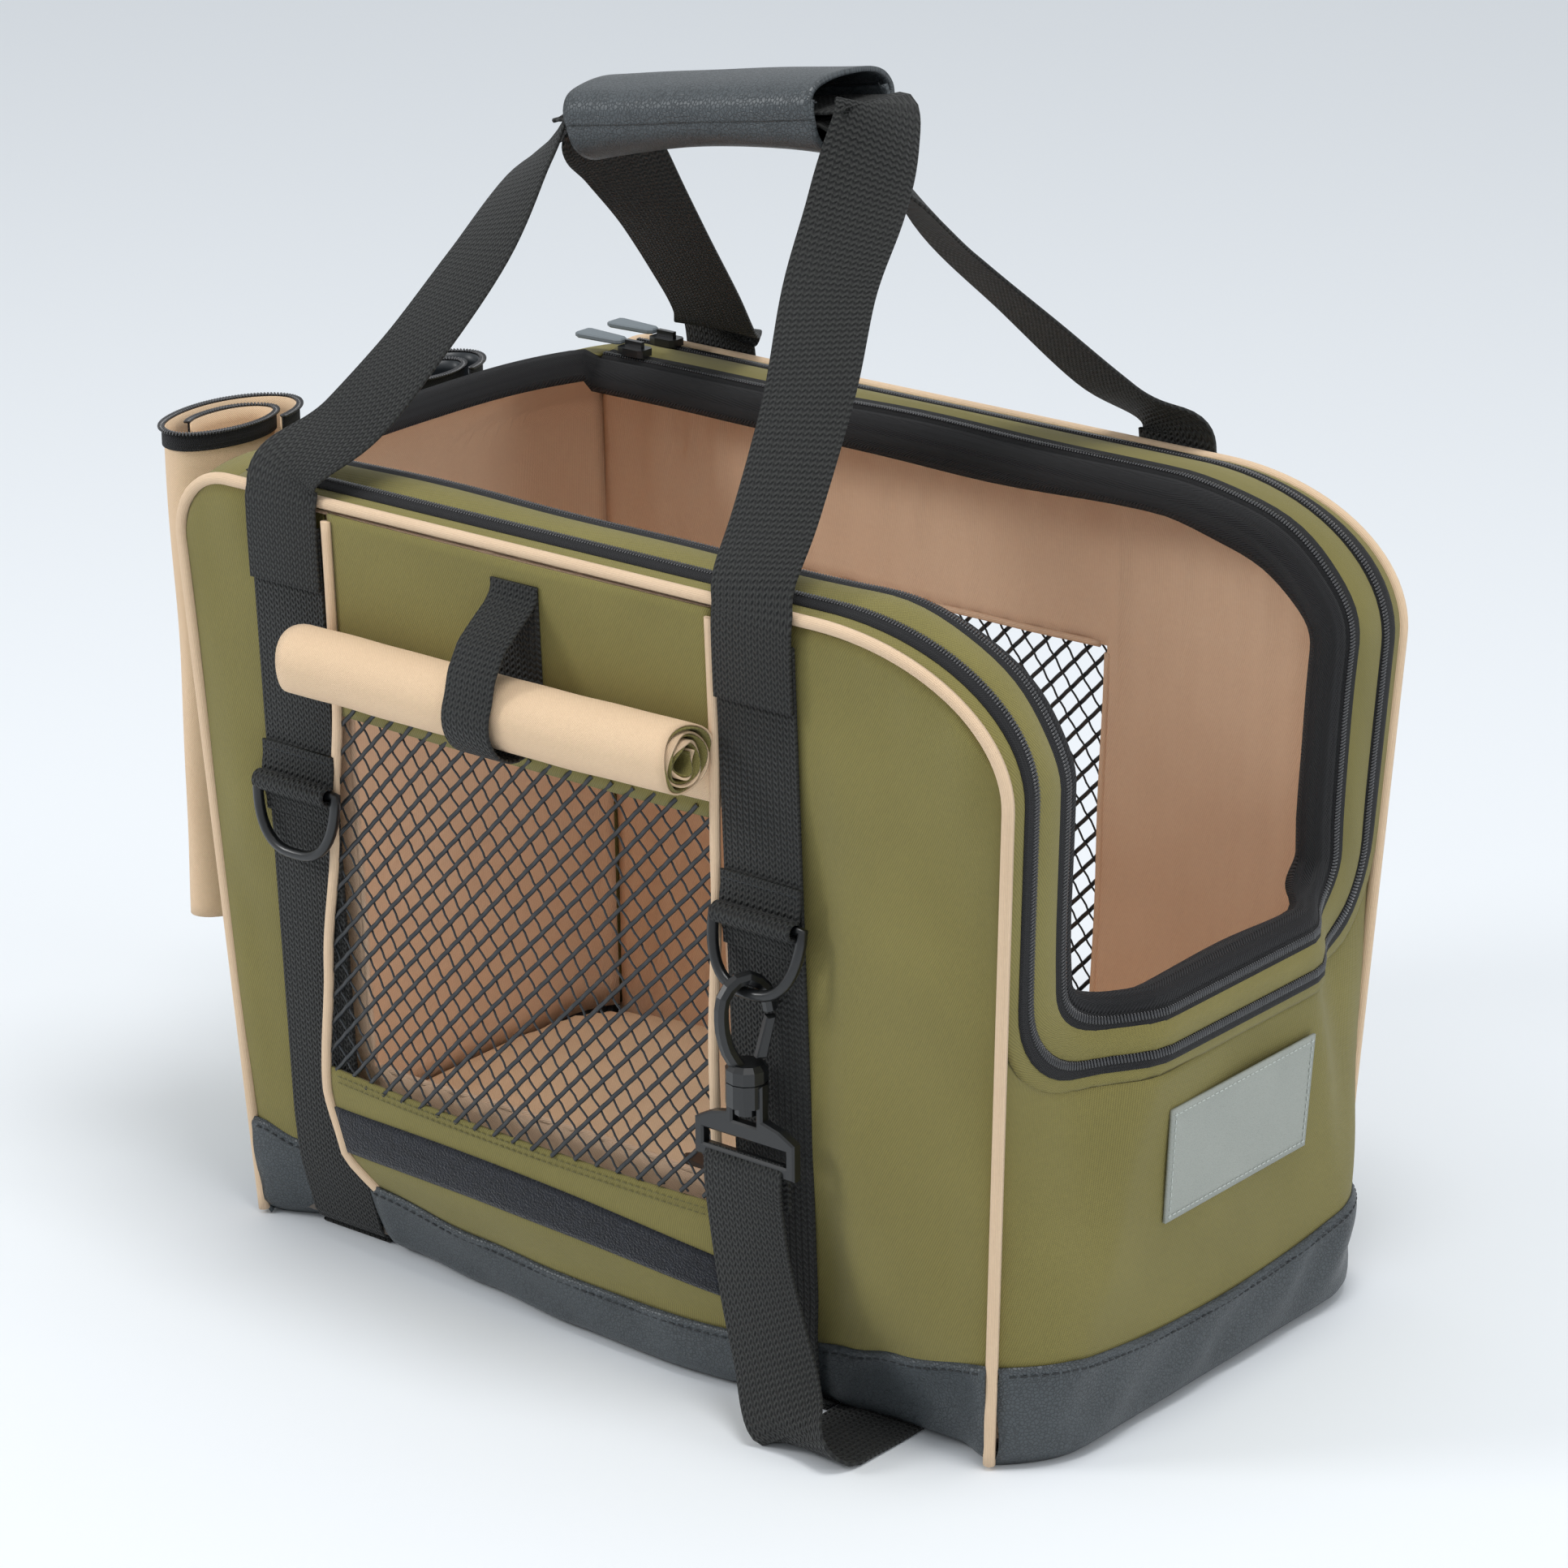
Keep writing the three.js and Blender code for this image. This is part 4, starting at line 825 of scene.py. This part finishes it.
def add_lining(name, side):
    """Lining of a side, gathered along its seams, with the window left open."""
    xs = sorted(set(list(np.linspace(-207, 206, 80)) + [WINDOW[0], WINDOW[1], 73, 76]))
    grid = []
    for x in xs:
        top = top_height(x, 3)
        below = [lerp(12, WINDOW[2], t) for t in np.linspace(0, 1, 13)]
        middle = [lerp(WINDOW[2], WINDOW[3], t) for t in np.linspace(0, 1, 25)][1:]
        above = [lerp(WINDOW[3], top, t) for t in np.linspace(0, 1, 15)][1:]
        line = []
        for z in below + middle + above:
            lean = BASE_INSET_X / HALF_LENGTH * (1 - z / HEIGHT) * x * smooth(abs(x), 120, 200)
            seam = min(abs(top - z), 60)
            gather = 2.4 * math.sin(0.36 * x + 2.5 * math.sin(0.05 * x)) * math.exp(-seam / 42)
            crease = 2.6 * math.exp(-((x - 75) / 2.6) ** 2) * smooth(z, 190, 260)
            waves = 2.2 * ripple(1.3 * x, 0.8 * z, 11 + side) + min(0.0, belly(x - lean, z))
            line.append((x - lean, side * (half_width(z) - 5.8 + gather - crease + waves), z))
        grid.append(line)
    first, last = xs.index(WINDOW[0]), xs.index(WINDOW[1])

    def keep(i, j):
        column = i if side > 0 else len(xs) - 2 - i
        return not (first <= column < last and 12 <= j < 36)

    cloth(f"{name}_lining_cloth", facing(grid, side > 0), LINING, SALMON, keep=keep,
          replaces=(f"{name}_lining",))
    hem = [(WINDOW[0], WINDOW[2]), (WINDOW[1], WINDOW[2]), (WINDOW[1], WINDOW[3]),
           (WINDOW[0], WINDOW[3]), (WINDOW[0], WINDOW[2])]
    for n, ((xa, za), (xb, zb)) in enumerate(zip(hem, hem[1:])):
        line = []
        for t in np.linspace(0.02, 0.98, 40):
            x, z = lerp(xa, xb, t), lerp(za, zb, t)
            out = -6.0 + 2.2 * ripple(1.3 * x, 0.8 * z, 11 + side)
            line.append((x, side * (half_width(z) + out), z))
        sweep(f"{name}_window_hem_{n}", line, ring(1.5, 8, 0.8), SALMON, up=(0, side, 0))


# ---------------------------------------------------------------- ends, lip and zips
def lip_corner(inset):
    """Width of the opening at an inset from the outer zip, and the radii of its lower corners."""
    return (OUTER_ZIP_Y - inset, LIP_CORNER_R - 0.45 * inset, LIP_CORNER_R - LIP_SQUASH * inset)


def opening_run(inset, back_x=OPENING_BACK_X, samples=46):
    """Stations round the opening, from the near back, round the front and to the far back."""
    side_y, ry, rz = lip_corner(inset)
    corner_y = side_y - ry
    start, end = top_station(back_x), front_station(LIP_CORNER_Z)
    half = [(s, -side_y) for s in np.linspace(start, end, samples)]
    for k in range(1, 10):
        a = math.radians(10 * k)
        half.append((front_station(LIP_CORNER_Z - rz * math.sin(a)), -(corner_y + ry * math.cos(a))))
    bottom = front_station(LIP_CORNER_Z - rz)
    middle = [(bottom, lerp(-corner_y, corner_y, t)) for t in np.linspace(0, 1, 22)[1:-1]]
    return half + middle + [(s, -y) for s, y in reversed(half)]


def lip_grid(insets, depths):
    return np.array([[lip(s, y, d) for s, y in opening_run(i)] for i, d in zip(insets, depths)])


def add_ends():
    insets = [-12.2, -10, -8, -5, -2, 2, 6, 10, 14, 18, 22, 26, 30]
    depths = [1.4, 0.6, 0.2, 0, 0, 0, -1.2, -2.0, -2.0, -1.2, 0.2, 0.6, 1.4]
    cloth("lip_cloth", lip_grid(insets, depths), CLOTH, OLIVE,
          replaces=("near_border_strip", "far_border_strip", "front_end_panel"))
    cloth("lip_lining", lip_grid(insets[::-1], [4.2] * len(insets)), LINING, SALMON)

    def top_z(y):
        side_y, ry, rz = lip_corner(-12.6)
        corner = side_y - ry
        if abs(y) <= corner:
            return LIP_CORNER_Z - rz
        return LIP_CORNER_Z - rz * math.sqrt(max(0.0, 1 - ((abs(y) - corner) / ry) ** 2)) + 1

    def front(y, t):
        z = lerp(26, top_z(y), t)
        soft = 2.2 * ripple(y, z, 6) * smooth(z, 30, 80)
        return gusset(front_station(z), y, 0.4 + pillow(131 - abs(y), 2.2, 5) - soft)

    def front_inside(y, t):
        z = lerp(12, top_z(y) + 8, t)
        return gusset(front_station(z), y, 6.5 - 1.6 * ripple(1.4 * y, z, 9))

    widths = 131.6 * np.sin(np.linspace(-math.pi / 2, math.pi / 2, 70))
    cloth("front_cloth", surface(widths, np.linspace(0, 1, 36), front), CLOTH, OLIVE)
    inner = surface(np.linspace(-128.5, 128.5, 56), np.linspace(0, 1, 30), front_inside)
    cloth("front_lining_cloth", inner[::-1], LINING, SALMON, replaces=("front_lining",))
    for label, depth, material, inset, out, node in (
            ("back", 0.4, OLIVE, -1.5, 1, "back_end_panel"),
            ("back_lining", 6.0, SALMON, 3.5, -1, "back_lining")):
        def back(y, t):
            s = lerp(4.93, back_rim(y, 92), t)
            soft = 1.2 * ripple(y, 90 * s, 8 - 5 * out)
            return gusset(s, y, depth + pillow(131 - abs(y), 2, 4) - soft * out)

        grid = surface(np.linspace(-130 + inset, 130 - inset, 60), np.linspace(0, 1, 50), back)
        cloth(f"{label}_cloth", facing(grid, out < 0), 1.2, material, replaces=(node,))


def add_zips():
    for label, inset, node, low in (("outer", 0, "outer_zip_tape", -0.9),
                                    ("inner", INNER_ZIP_INSET, "inner_zip_tape", -1.3)):
        span = [-5, -3, 0, 2.6, 4.6]
        grid = lip_grid([inset + d for d in span], [low, low - 0.5, low - 0.8, low - 0.8, low + 0.2])
        cloth(f"{label}_tape", grid, 0.9, TAPE, replaces=(node,))
        run = np.array([lip(s, y, low - 1.6) for s, y in opening_run(inset + 1.6)])
        above = [lip(s, y, low - 5.6) for s, y in opening_run(inset + 1.6)]
        path = resample(run, COIL_PITCH)
        nearest = np.array([above[np.argmin(np.linalg.norm(run - p, axis=1))] for p in path])
        coil(f"{label}_coil", path, nearest - path, 3.6)
        line = [lip(s, y, low - 0.5) for s, y in opening_run(inset - 4.2)]
        stitching(f"{label}_tape_seam", line, THREAD_DARK, (0, 0, 1), 3.4, 2.4, 0.3, slot="black_tape")
    add_binding()


def add_binding():
    """Herringbone tape folded over the free edge, which hangs into the cabin."""
    profile = [(26.4, -1.0), (28.4, -1.3), (30.6, -0.6), (32.2, 1.0), (33.2, 4.0), (33.4, 7.5),
               (32.6, 10), (31.4, 8.6), (31.0, 5), (29.6, 3)]
    loops = []
    for inset, depth in profile:
        line = []
        for n, (s, y) in enumerate(opening_run(inset)):
            wave = 1.4 * math.sin(0.33 * n + 1.1 * math.sin(0.17 * n)) * smooth(depth, 0, 9)
            line.append(lip(s, y, depth + wave))
        side_y = OUTER_ZIP_Y - inset
        for y in np.linspace(side_y, -side_y, 34)[1:-1]:
            x, py, z = gusset(back_rim(y, side_y), y, depth * 0.9 - 1)
            line.append((x + 6 * ((inset - 25) / 11), py, z))
        loops.append(line)
    cloth("edge_binding", np.array(loops), 1.2, BINDING, around=True,
          replaces=("opening_binding",))


def add_piping(name, side):
    path = []
    for s in np.concatenate([np.linspace(front_station(2), 1, 46), np.linspace(1, 2, 26)[1:],
                             np.linspace(2, 3, 60)[1:], np.linspace(3, 4, 16)[1:],
                             np.linspace(4, back_station(2), 46)[1:]]):
        x, z, nx, nz = outline(s)
        px, py, pz = taper(x + nx * 0.3, HALF_WIDTH - 0.8, z + nz * 0.3)
        path.append((px, side * py, pz))
    sweep(f"{name}_piping_cord", path, ring(PIPING_RADIUS, 12, 0.95), CORD_TAPE, up=(0, side, 0.01),
          replaces=(f"{name}_piping",))


# ---------------------------------------------------------------- webbing
def ribbon(name, centre, across, width, thick, material, **facts):
    """A flat strap along a line of points, with the direction of its width at each."""
    centre = np.asarray(centre, float)
    across = np.broadcast_to(np.asarray(across, float), centre.shape).copy()
    along = np.gradient(centre, axis=0)
    along /= np.linalg.norm(along, axis=1, keepdims=True)
    across -= along * np.sum(across * along, axis=1, keepdims=True)
    across /= np.linalg.norm(across, axis=1, keepdims=True)
    face = np.cross(along, across)
    section = np.array(band(width, thick))
    points = (centre[:, None] + section[None, :, :1] * across[:, None]
              + section[None, :, 1:] * face[:, None])
    points[..., 2] = np.maximum(points[..., 2], 0.1)
    uvs = np.stack(np.broadcast_arrays(section[None, :, 0] + 60, run_along(centre)[:, None]), axis=2)
    faces = tube_faces(len(centre), len(section))
    return make(name, points.reshape(-1, 3), faces, uvs.reshape(-1, 2), material, **facts)


def handle_rows(rear, front, lower, reach):
    length, x0, z0 = 136, -30, 476

    def ridge(x):
        return z0 - lower + math.tan(GRIP_TILT) * (x - x0)

    left, right = x0 - length / 2 - reach, x0 + length / 2 + reach

    def seam(x, turn, lean):
        return [(x, 137, 319.6, turn), (x, 136.4, 328.6, turn), (x + lean, 132, 340.6, turn)]

    return (seam(REAR_STRAP_X, 2, 2) + rear
            + [(left, 1, ridge(left) - 2.6, 1.1), (left + 16, 0, ridge(left + 16), 1),
               (x0, 0, ridge(x0), 1), (right - 16, 0, ridge(right - 16), 1),
               (right, 1, ridge(right) - 2.6, 0.9)]
            + front[::-1] + seam(FRONT_STRAP_X, 0, -2)[::-1])


HANDLES = {
    "near": handle_rows([(-129, 114, 357, 1.96), (-116, 92, 383, 1.9), (-110, 58, 415, 1.82),
                         (-112, 24, 444, 1.55)],
                        [(86, 112, 360, 0.04), (76, 80, 396, 0.1), (62, 50, 428, 0.2),
                         (55, 24, 456, 0.45)], 0, 9),
    "far": handle_rows([(-129, 112, 348, 1.96), (-118, 88, 370, 1.9), (-106, 50, 408, 1.8),
                        (-101, 24, 436, 1.55)],
                       [(74, 114, 356, 0.06), (54, 86, 388, 0.14), (38, 56, 420, 0.22),
                        (40, 24, 452, 0.45)], 4.4, -4)}


def add_handle(name, side):
    sewn = [half_width(z) + 4.6 for z in (292, 306)]
    rear = [(REAR_STRAP_X, sewn[0], 292, 2), (REAR_STRAP_X, sewn[1], 306, 2)]
    front = [(FRONT_STRAP_X, sewn[1], 306, 0), (FRONT_STRAP_X, sewn[0], 292, 0)]
    line = spline(rear + HANDLES[name] + front, 9)
    centre = line[:, :3] * (1, side, 1)
    turn = line[:, 3] * math.pi / 2
    across = np.stack([np.cos(turn), -side * np.sin(turn), 0 * turn], axis=1)
    strap = ribbon(f"{name}_handle_webbing", centre, across, WEBBING, WEBBING_THICK, STRAP,
                   body=None, replaces=(f"{name}_handle_strap",))
    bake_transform(strap)


def add_body_strap(label, x):
    half = [wall(-1, x, z, 2.5 + 2.0 * (1 - smooth(z, 30, 52))) for z in np.linspace(318, 9, 70)]
    _, y, _ = half[-1]
    half += [(x, y + 1.2, 6), (x, y + 4.5, 3), (x, y + 10, 1.3), (x, y + 20, 0.9)]
    path = half + [(x, -hy, hz) for _, hy, hz in reversed(half)]
    path = resample(spline(path, 2), 4.5)
    path[:, 2] = np.maximum(path[:, 2], 0.9)
    ribbon(f"{label}_webbing", path, (1, 0, 0), WEBBING, WEBBING_THICK, STRAP,
           replaces=(f"{label}_body_strap",))


def add_ring_set(name, side, label, x):
    """A wire D-ring in a folded webbing keeper, sewn on the strap."""
    tilt = math.radians(12) if label == "front" else math.radians(4)
    ring_y = half_width(RING_Z) + 6.6
    path = []
    for k in range(48):
        a = 2 * math.pi * k / 48
        c, s = math.cos(a), math.sin(a)
        wide = math.copysign(abs(c) ** 0.75, c) * RING_HALF
        drop = -RING_DROP * abs(s) ** 0.86 if s < 0 else 0.0
        if s > 0:
            wide = lerp(RING_HALF, -RING_HALF, (k + 1) / 25)
        path.append((wide, drop))
    points = [(x + w, side * (ring_y - d * math.sin(tilt)), RING_Z + d * math.cos(tilt))
              for w, d in path]
    sweep(f"{name}_{label}_ring_wire", points, ring(WIRE_RADIUS, 12), PLASTIC, up=(0, side, 0), closed=True,
          body=f"{name}_{label}_ring",
          replaces=(f"{name}_{label}_d_ring",))
    route = [(0.4, 222), (0.6, 216), (1.6, 211.5)]
    for a in np.linspace(140, -140, 15):
        r = math.radians(a)
        route.append((6.6 - 1.9 + 3.6 * math.cos(r), RING_Z + 3.6 * math.sin(r)))
    route += [(1.2, 200.5), (0.4, 197), (0.3, 192)]
    path = [(x, side * (half_width(z) + 1.9 + 2.0 + o), z) for o, z in route]
    ribbon(f"{name}_{label}_ring_tab", resample(path, 1.5), (1, 0, 0), WEBBING + 1, 1.5, STRAP,
           replaces=(f"{name}_{label}_ring_keeper",))
    for z in (219, 214.5):
        line = [(x + u, side * (half_width(z) + 1.9 + 3.2), z) for u in np.linspace(-17, 17, 20)]
        stitching(f"{name}_{label}_tab_seam_{int(z)}", line, THREAD_DARK, (0, side, 0),
                  slot="black_webbing")


def add_shoulder_strap():
    route = [(-137.6, 92), (-138.2, 104), (-139.6, 110.6), (-142, 111.2), (-143.6, 106), (-142.6, 92),
             (-143, 62), (-149, 34), (-157, 12), (-150, 2.4), (-136, 1.3), (-100, 1.1), (0, 1.1),
             (100, 1.1), (136, 1.3), (166, 2.6), (178, 14), (166, 36), (148, 62), (142.6, 92),
             (143.6, 106), (142, 111.2), (139.6, 110.6), (138.2, 104), (137.6, 92)]
    path = [(HOOK_X + 41.5 * (1 - clamp(z / 84)) ** 1.5, y, z) for y, z in route]
    path = resample(spline(path, 8), 3.5)
    path[:, 2] = np.maximum(path[:, 2], 1.0)
    ribbon("shoulder_webbing", path, (1, 0, 0), WEBBING, 1.7, STRAP,
           replaces=("shoulder_strap",))


# ---------------------------------------------------------------- rolled covers
def roll_y():
    """Distance of a rolled cover's axis from the middle of the bag."""
    return half_width(ROLL_Z) + ROLL_RADIUS + 2.6


def add_cover_roll(name, side):
    """The window cover, rolled up outwards: tan outside, olive inside, in one spiral."""
    centre_y = roll_y()
    turns = 3.1
    for layer, radius, material, thick in (("tan", ROLL_RADIUS, TAN, 0.9),
                                           ("olive", ROLL_RADIUS - 1.2, OLIVE, 0.8)):
        path = []
        if layer == "tan":
            path += [(half_width(250) + 2.6, 247), (half_width(256) + 2.4, 256)]
        for t in np.linspace(0.0, 1, 110):
            a = math.pi - 2 * math.pi * turns * t
            r = radius - 3.3 * turns * t + 0.3 * math.sin(3 * a)
            path.append((centre_y + r * math.cos(a), ROLL_Z + 0.96 * r * math.sin(a)))
        grid = []
        for u in np.linspace(0, 1, 46):
            x = lerp(*ROLL_X, u)
            line = []
            for n, (y, z) in enumerate(path):
                skew = 1.5 * math.sin(0.4 * n) * (abs(u - 0.5) * 2) ** 8
                sag = 1.4 * math.sin(math.pi * u) - 3.0 * (u - 0.5)
                line.append((x + skew, side * (y + 0.8 * ripple(2.6 * x, z, 1)), z - sag * 0.4))
            grid.append(line)
        grid = np.array(grid)
        roll = cloth(f"{name}_cover_{layer}", grid if side > 0 else grid[::-1], thick, material,
                     replaces=(f"{name}_cover_roll",))


def add_keeper(name, side):
    """A webbing loop that holds the rolled cover: a sewn back leg and a front leg that opens."""
    centre_y = roll_y()

    def bend(radius, start, end, count):
        return [(centre_y + radius * math.cos(a), ROLL_Z + radius * math.sin(a))
                for a in map(math.radians, np.linspace(start, end, count))]

    back = [(half_width(z) + 4.0, z) for z in np.linspace(317, 262, 12)]
    back += bend(KEEPER_RADIUS - 0.2, 200, 268, 10)
    upper_leg = ((13, 18), (7, 28), (-2, 35), (-9, 40), (-12.2, 44), (-12.6, 48))
    front = bend(KEEPER_RADIUS, -91, 28, 18) + [(centre_y + y, ROLL_Z + z) for y, z in upper_leg]
    for label, route, body in (("back", back, "root"), ("front", front, f"{name}_keeper")):
        path = resample([(KEEPER_X, side * y, z) for y, z in route], 2.5)
        ribbon(f"{name}_keeper_{label}_webbing", path, (1, 0, 0), KEEPER_WIDTH, 1.4, STRAP, body=body,
               replaces=(f"{name}_keeper_{label}",))


def box_mm(node):
    """A CAD node's box in mm: its low and high corners, then its centre and half size in plan."""
    low, high = (corner * 1000 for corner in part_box(node))
    return (low, high, (low.x + high.x) / 2, (low.y + high.y) / 2,
            (high.x - low.x) / 2, (high.y - low.y) / 2)


def add_flap(node, body, material, turns):
    """A front cover rolled up behind the back, standing on end, with its zip half round the top."""
    low, high, cx, cy, half_x, half_y = box_mm(node)
    a, b = half_x - 1.6, half_y - 1.6
    plan = []
    for t in np.linspace(0, 1, 130):
        turn = math.radians(20) + 2 * math.pi * turns * t
        k = 1 - 0.5 * t
        plan.append((cx + a * k * math.cos(turn), cy + b * k * math.sin(turn), k))
    grid = []
    for z in np.linspace(low.z, high.z - 1.5, 40):
        u = (z - low.z) / (high.z - low.z)
        belly_in = 0.82 + 0.18 * smooth(u, 0.25, 1)
        line = []
        for n, (x, y, k) in enumerate(plan):
            lift = -4 * (1 - k) * u
            crease = 0.8 * ripple(z, 4 * n, 7)
            line.append((cx + (x - cx) * belly_in + crease, cy + (y - cy) * (0.9 + 0.1 * u) + crease,
                         z + lift))
        grid.append(line)
    grid = np.array(grid)
    flap = cloth(f"{node}_cloth", grid[::-1], 0.9, material, body=body, replaces=(node,))
    rim = grid[-1]
    normal = np.cross(np.gradient(rim, axis=0), (0, 0, 1))
    normal /= np.linalg.norm(normal, axis=1, keepdims=True)
    tape = np.array([rim + (0, 0, rise) for rise in (-7, -3, 0.6)]) + 0.9 * normal
    cloth(f"{node}_tape", tape[::-1], 0.8, TAPE, body=body)
    teeth = resample(resample(rim + (0, 0, 0.5) + normal, COIL_PITCH), COIL_PITCH)
    coil(f"{node}_coil", teeth, (0, 0, 1), 3.0, body=body)


# ---------------------------------------------------------------- grip, label, floor
def grip_point(along, across, up):
    c, s = math.cos(GRIP_TILT), math.sin(GRIP_TILT)
    x, y, z = GRIP_CENTRE
    return (x + along * c - up * s, y + across, z + along * s + up * c)


def add_grip():
    wrap = [(-22.4, 5.6), (-23.6, 0), (-21.5, -8), (-13, -12.8), (0, -13.8), (13, -12.8),
            (21.5, -8), (23.2, -2), (21.8, 3.6)]
    flap = [(-23.9, -1.5), (-24.4, 4), (-21, 8.8), (-12, 11.2), (0, 12.0), (12, 11.0), (21, 8.2),
            (25.2, 3.6), (25.4, -1.5)]
    for label, section, body in (("wrap", wrap, "near_handle"), ("flap", flap, None)):
        curve = spline([(w, h, 0) for w, h in section], 5)[:, :2]
        grid = []
        for u in np.linspace(-1, 1, 44):
            arch = 2.6 * (u * u) if label == "wrap" else 0.6 * u * u
            length = 63 + 1.2 * math.sin(2 * u)
            line = []
            for w, h in curve:
                low = smooth(-h, -4, 14)
                dent = 0.5 * ripple(90 * u, 3 * w, 14)
                line.append(grip_point(length * u, w * (1 - 0.03 * u * u), h + dent - arch * low
                                       + 2.0 * (1 - u * u) * low))
            grid.append(line)
        grid = np.array(grid)
        skin = cloth(f"grip_{label}_skin", grid if label == "wrap" else grid[::-1], 2.0, LEATHERETTE,
                     body=body, replaces=(f"grip_{label}",))
        edges = [(grid[:, 1 if label == "wrap" else -2], "side"), (grid[1], "left"),
                 (grid[-2], "right")]
        soft = [skin]
        for line, place in edges:
            away = line - np.array(grip_point(0, 0, 0))
            away[:, 0] = 0
            away /= np.maximum(np.linalg.norm(away, axis=1, keepdims=True), 1e-6)
            stitches = stitching(f"grip_{label}_{place}_seam", line + 0.25 * away, THREAD_DARK,
                                 (0, 0, 1), 3.6, 2.6, 0.4, body=body, slot="leatherette")
            soft.append(stitches)
        if label == "flap":
            for piece in soft:
                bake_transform(piece)


def add_label():
    def at(y, z, depth):
        return gusset(front_station(z), y, depth)

    grid = [[at(y, z, -1.7) for z in np.linspace(84, 132, 14)] for y in np.linspace(-48, 56, 26)]
    cloth("label_leather_patch", np.array(grid), 1.3, LABEL,
          replaces=("label_patch",))
    corners = [(-45.6, 86.4), (53.6, 86.4), (53.6, 129.6), (-45.6, 129.6), (-45.6, 86.4)]
    for n, ((ya, za), (yb, zb)) in enumerate(zip(corners, corners[1:])):
        line = [at(lerp(ya, yb, t), lerp(za, zb, t), -1.95) for t in np.linspace(0, 1, 30)]
        stitching(f"label_seam_{n}", line, THREAD_PALE, (1, 0, 0.1), 3.0, 2.1, 0.28)


def add_cushion():
    """A thin stuffed floor pad, crowned, with a sewn edge and soft dents."""
    low, high, cx, cy, half_x, half_y = box_mm("floor_cushion")
    hx, hy = half_x - 0.6, half_y - 0.6
    middle = (low.z + high.z) / 2
    rise = (high.z - low.z) / 2 - 0.6
    loops = []
    for share, height in ((0.02, 1.0), (0.3, 1.0), (0.6, 0.99), (0.8, 0.95), (0.91, 0.82), (0.965, 0.55),
                          (0.99, 0.24), (1.0, 0.0), (0.99, -0.3), (0.965, -0.62), (0.9, -0.88),
                          (0.7, -0.98), (0.3, -1.0), (0.02, -1.0)):
        line = []
        for k in range(180):
            a = 2 * math.pi * k / 180
            c, s = math.cos(a), math.sin(a)
            x = hx * share * math.copysign(abs(c) ** 0.28, c)
            y = hy * share * math.copysign(abs(s) ** 0.28, s)
            dent = 1.3 * ripple(1.6 * x, 1.6 * y, 4) * (1 - share * share) if height > 0 else 0
            gather = 0.5 * math.sin(41 * a) * math.exp(-((share - 0.96) / 0.05) ** 2)
            line.append((cx + x, cy + y, middle + rise * height - abs(dent) + gather * (height > 0)))
        loops.append(line)
    loops = np.array(loops)
    pad = cloth("floor_pad", loops, 0, TAN, around=True,
                replaces=("floor_cushion",))
    points = loops.reshape(-1, 3)
    for corner, mesh_corner in zip(pad.data.uv_layers[0].data, pad.data.loops):
        corner.uv = points[mesh_corner.vertex_index][:2]
    widest = loops[7]
    sweep("floor_pad_piping", widest, ring(1.3, 8), TAN, closed=True)


def add_tether():
    route = [(186, 78), (172, 60), (150, 40), (120, 36.2), (60, 36.0), (10, 36.0)]
    line = spline([(x, -30, z) for x, z in route], 6)
    ribbon("tether_webbing", line, (0, 1, 0), 20, 1.5, STRAP,
           replaces=("safety_tether",))


def carry_over():
    """Hard fittings kept from the CAD, with finished surfaces."""
    looks = {"slider": PLASTIC, "pull": RUBBER, "snap_hook": PLASTIC, "hook_gate": PLASTIC,
             "hook_eye": PLASTIC, "tether_clip": PLASTIC, "base_board": BOARD}
    for name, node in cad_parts.items():
        for word, material in looks.items():
            if word in name and node.type == "MESH":
                node.data.materials.clear()
                node.data.materials.append(material)


def add_floor():
    data = bpy.data.meshes.new("studio_floor")
    corners = [(-6, -6, 0), (6, -6, 0), (6, 6, 0), (-6, 6, 0)]
    data.from_pydata(corners, [], [(0, 1, 2, 3)])
    floor = bpy.data.objects.new("studio_floor", data)
    look = Look("studio_paper", 0.9)
    look.set("Base Color", (0.86, 0.89, 0.92, 1))
    data.uv_layers.new(name="UVMap")
    data.materials.append(look.material)
    scene.collection.objects.link(floor)


add_camera()
add_studio()
add_floor()
for side_name, sign in SIDES:
    add_side(side_name, sign)
    add_piping(side_name, sign)
    add_handle(side_name, sign)
    add_cover_roll(side_name, sign)
    add_keeper(side_name, sign)
    for strap_name, strap_x in STRAPS:
        add_ring_set(side_name, sign, strap_name, strap_x)
for strap_name, strap_x in STRAPS:
    add_body_strap(strap_name, strap_x)
add_boot_ends()
add_ends()
add_zips()
add_shoulder_strap()
add_flap("outer_flap_roll", "outer_flap", TAN, 1.55)
add_flap("mesh_flap_roll", "mesh_flap", MESH, 1.6)
add_grip()
add_label()
add_cushion()
add_tether()
carry_over()
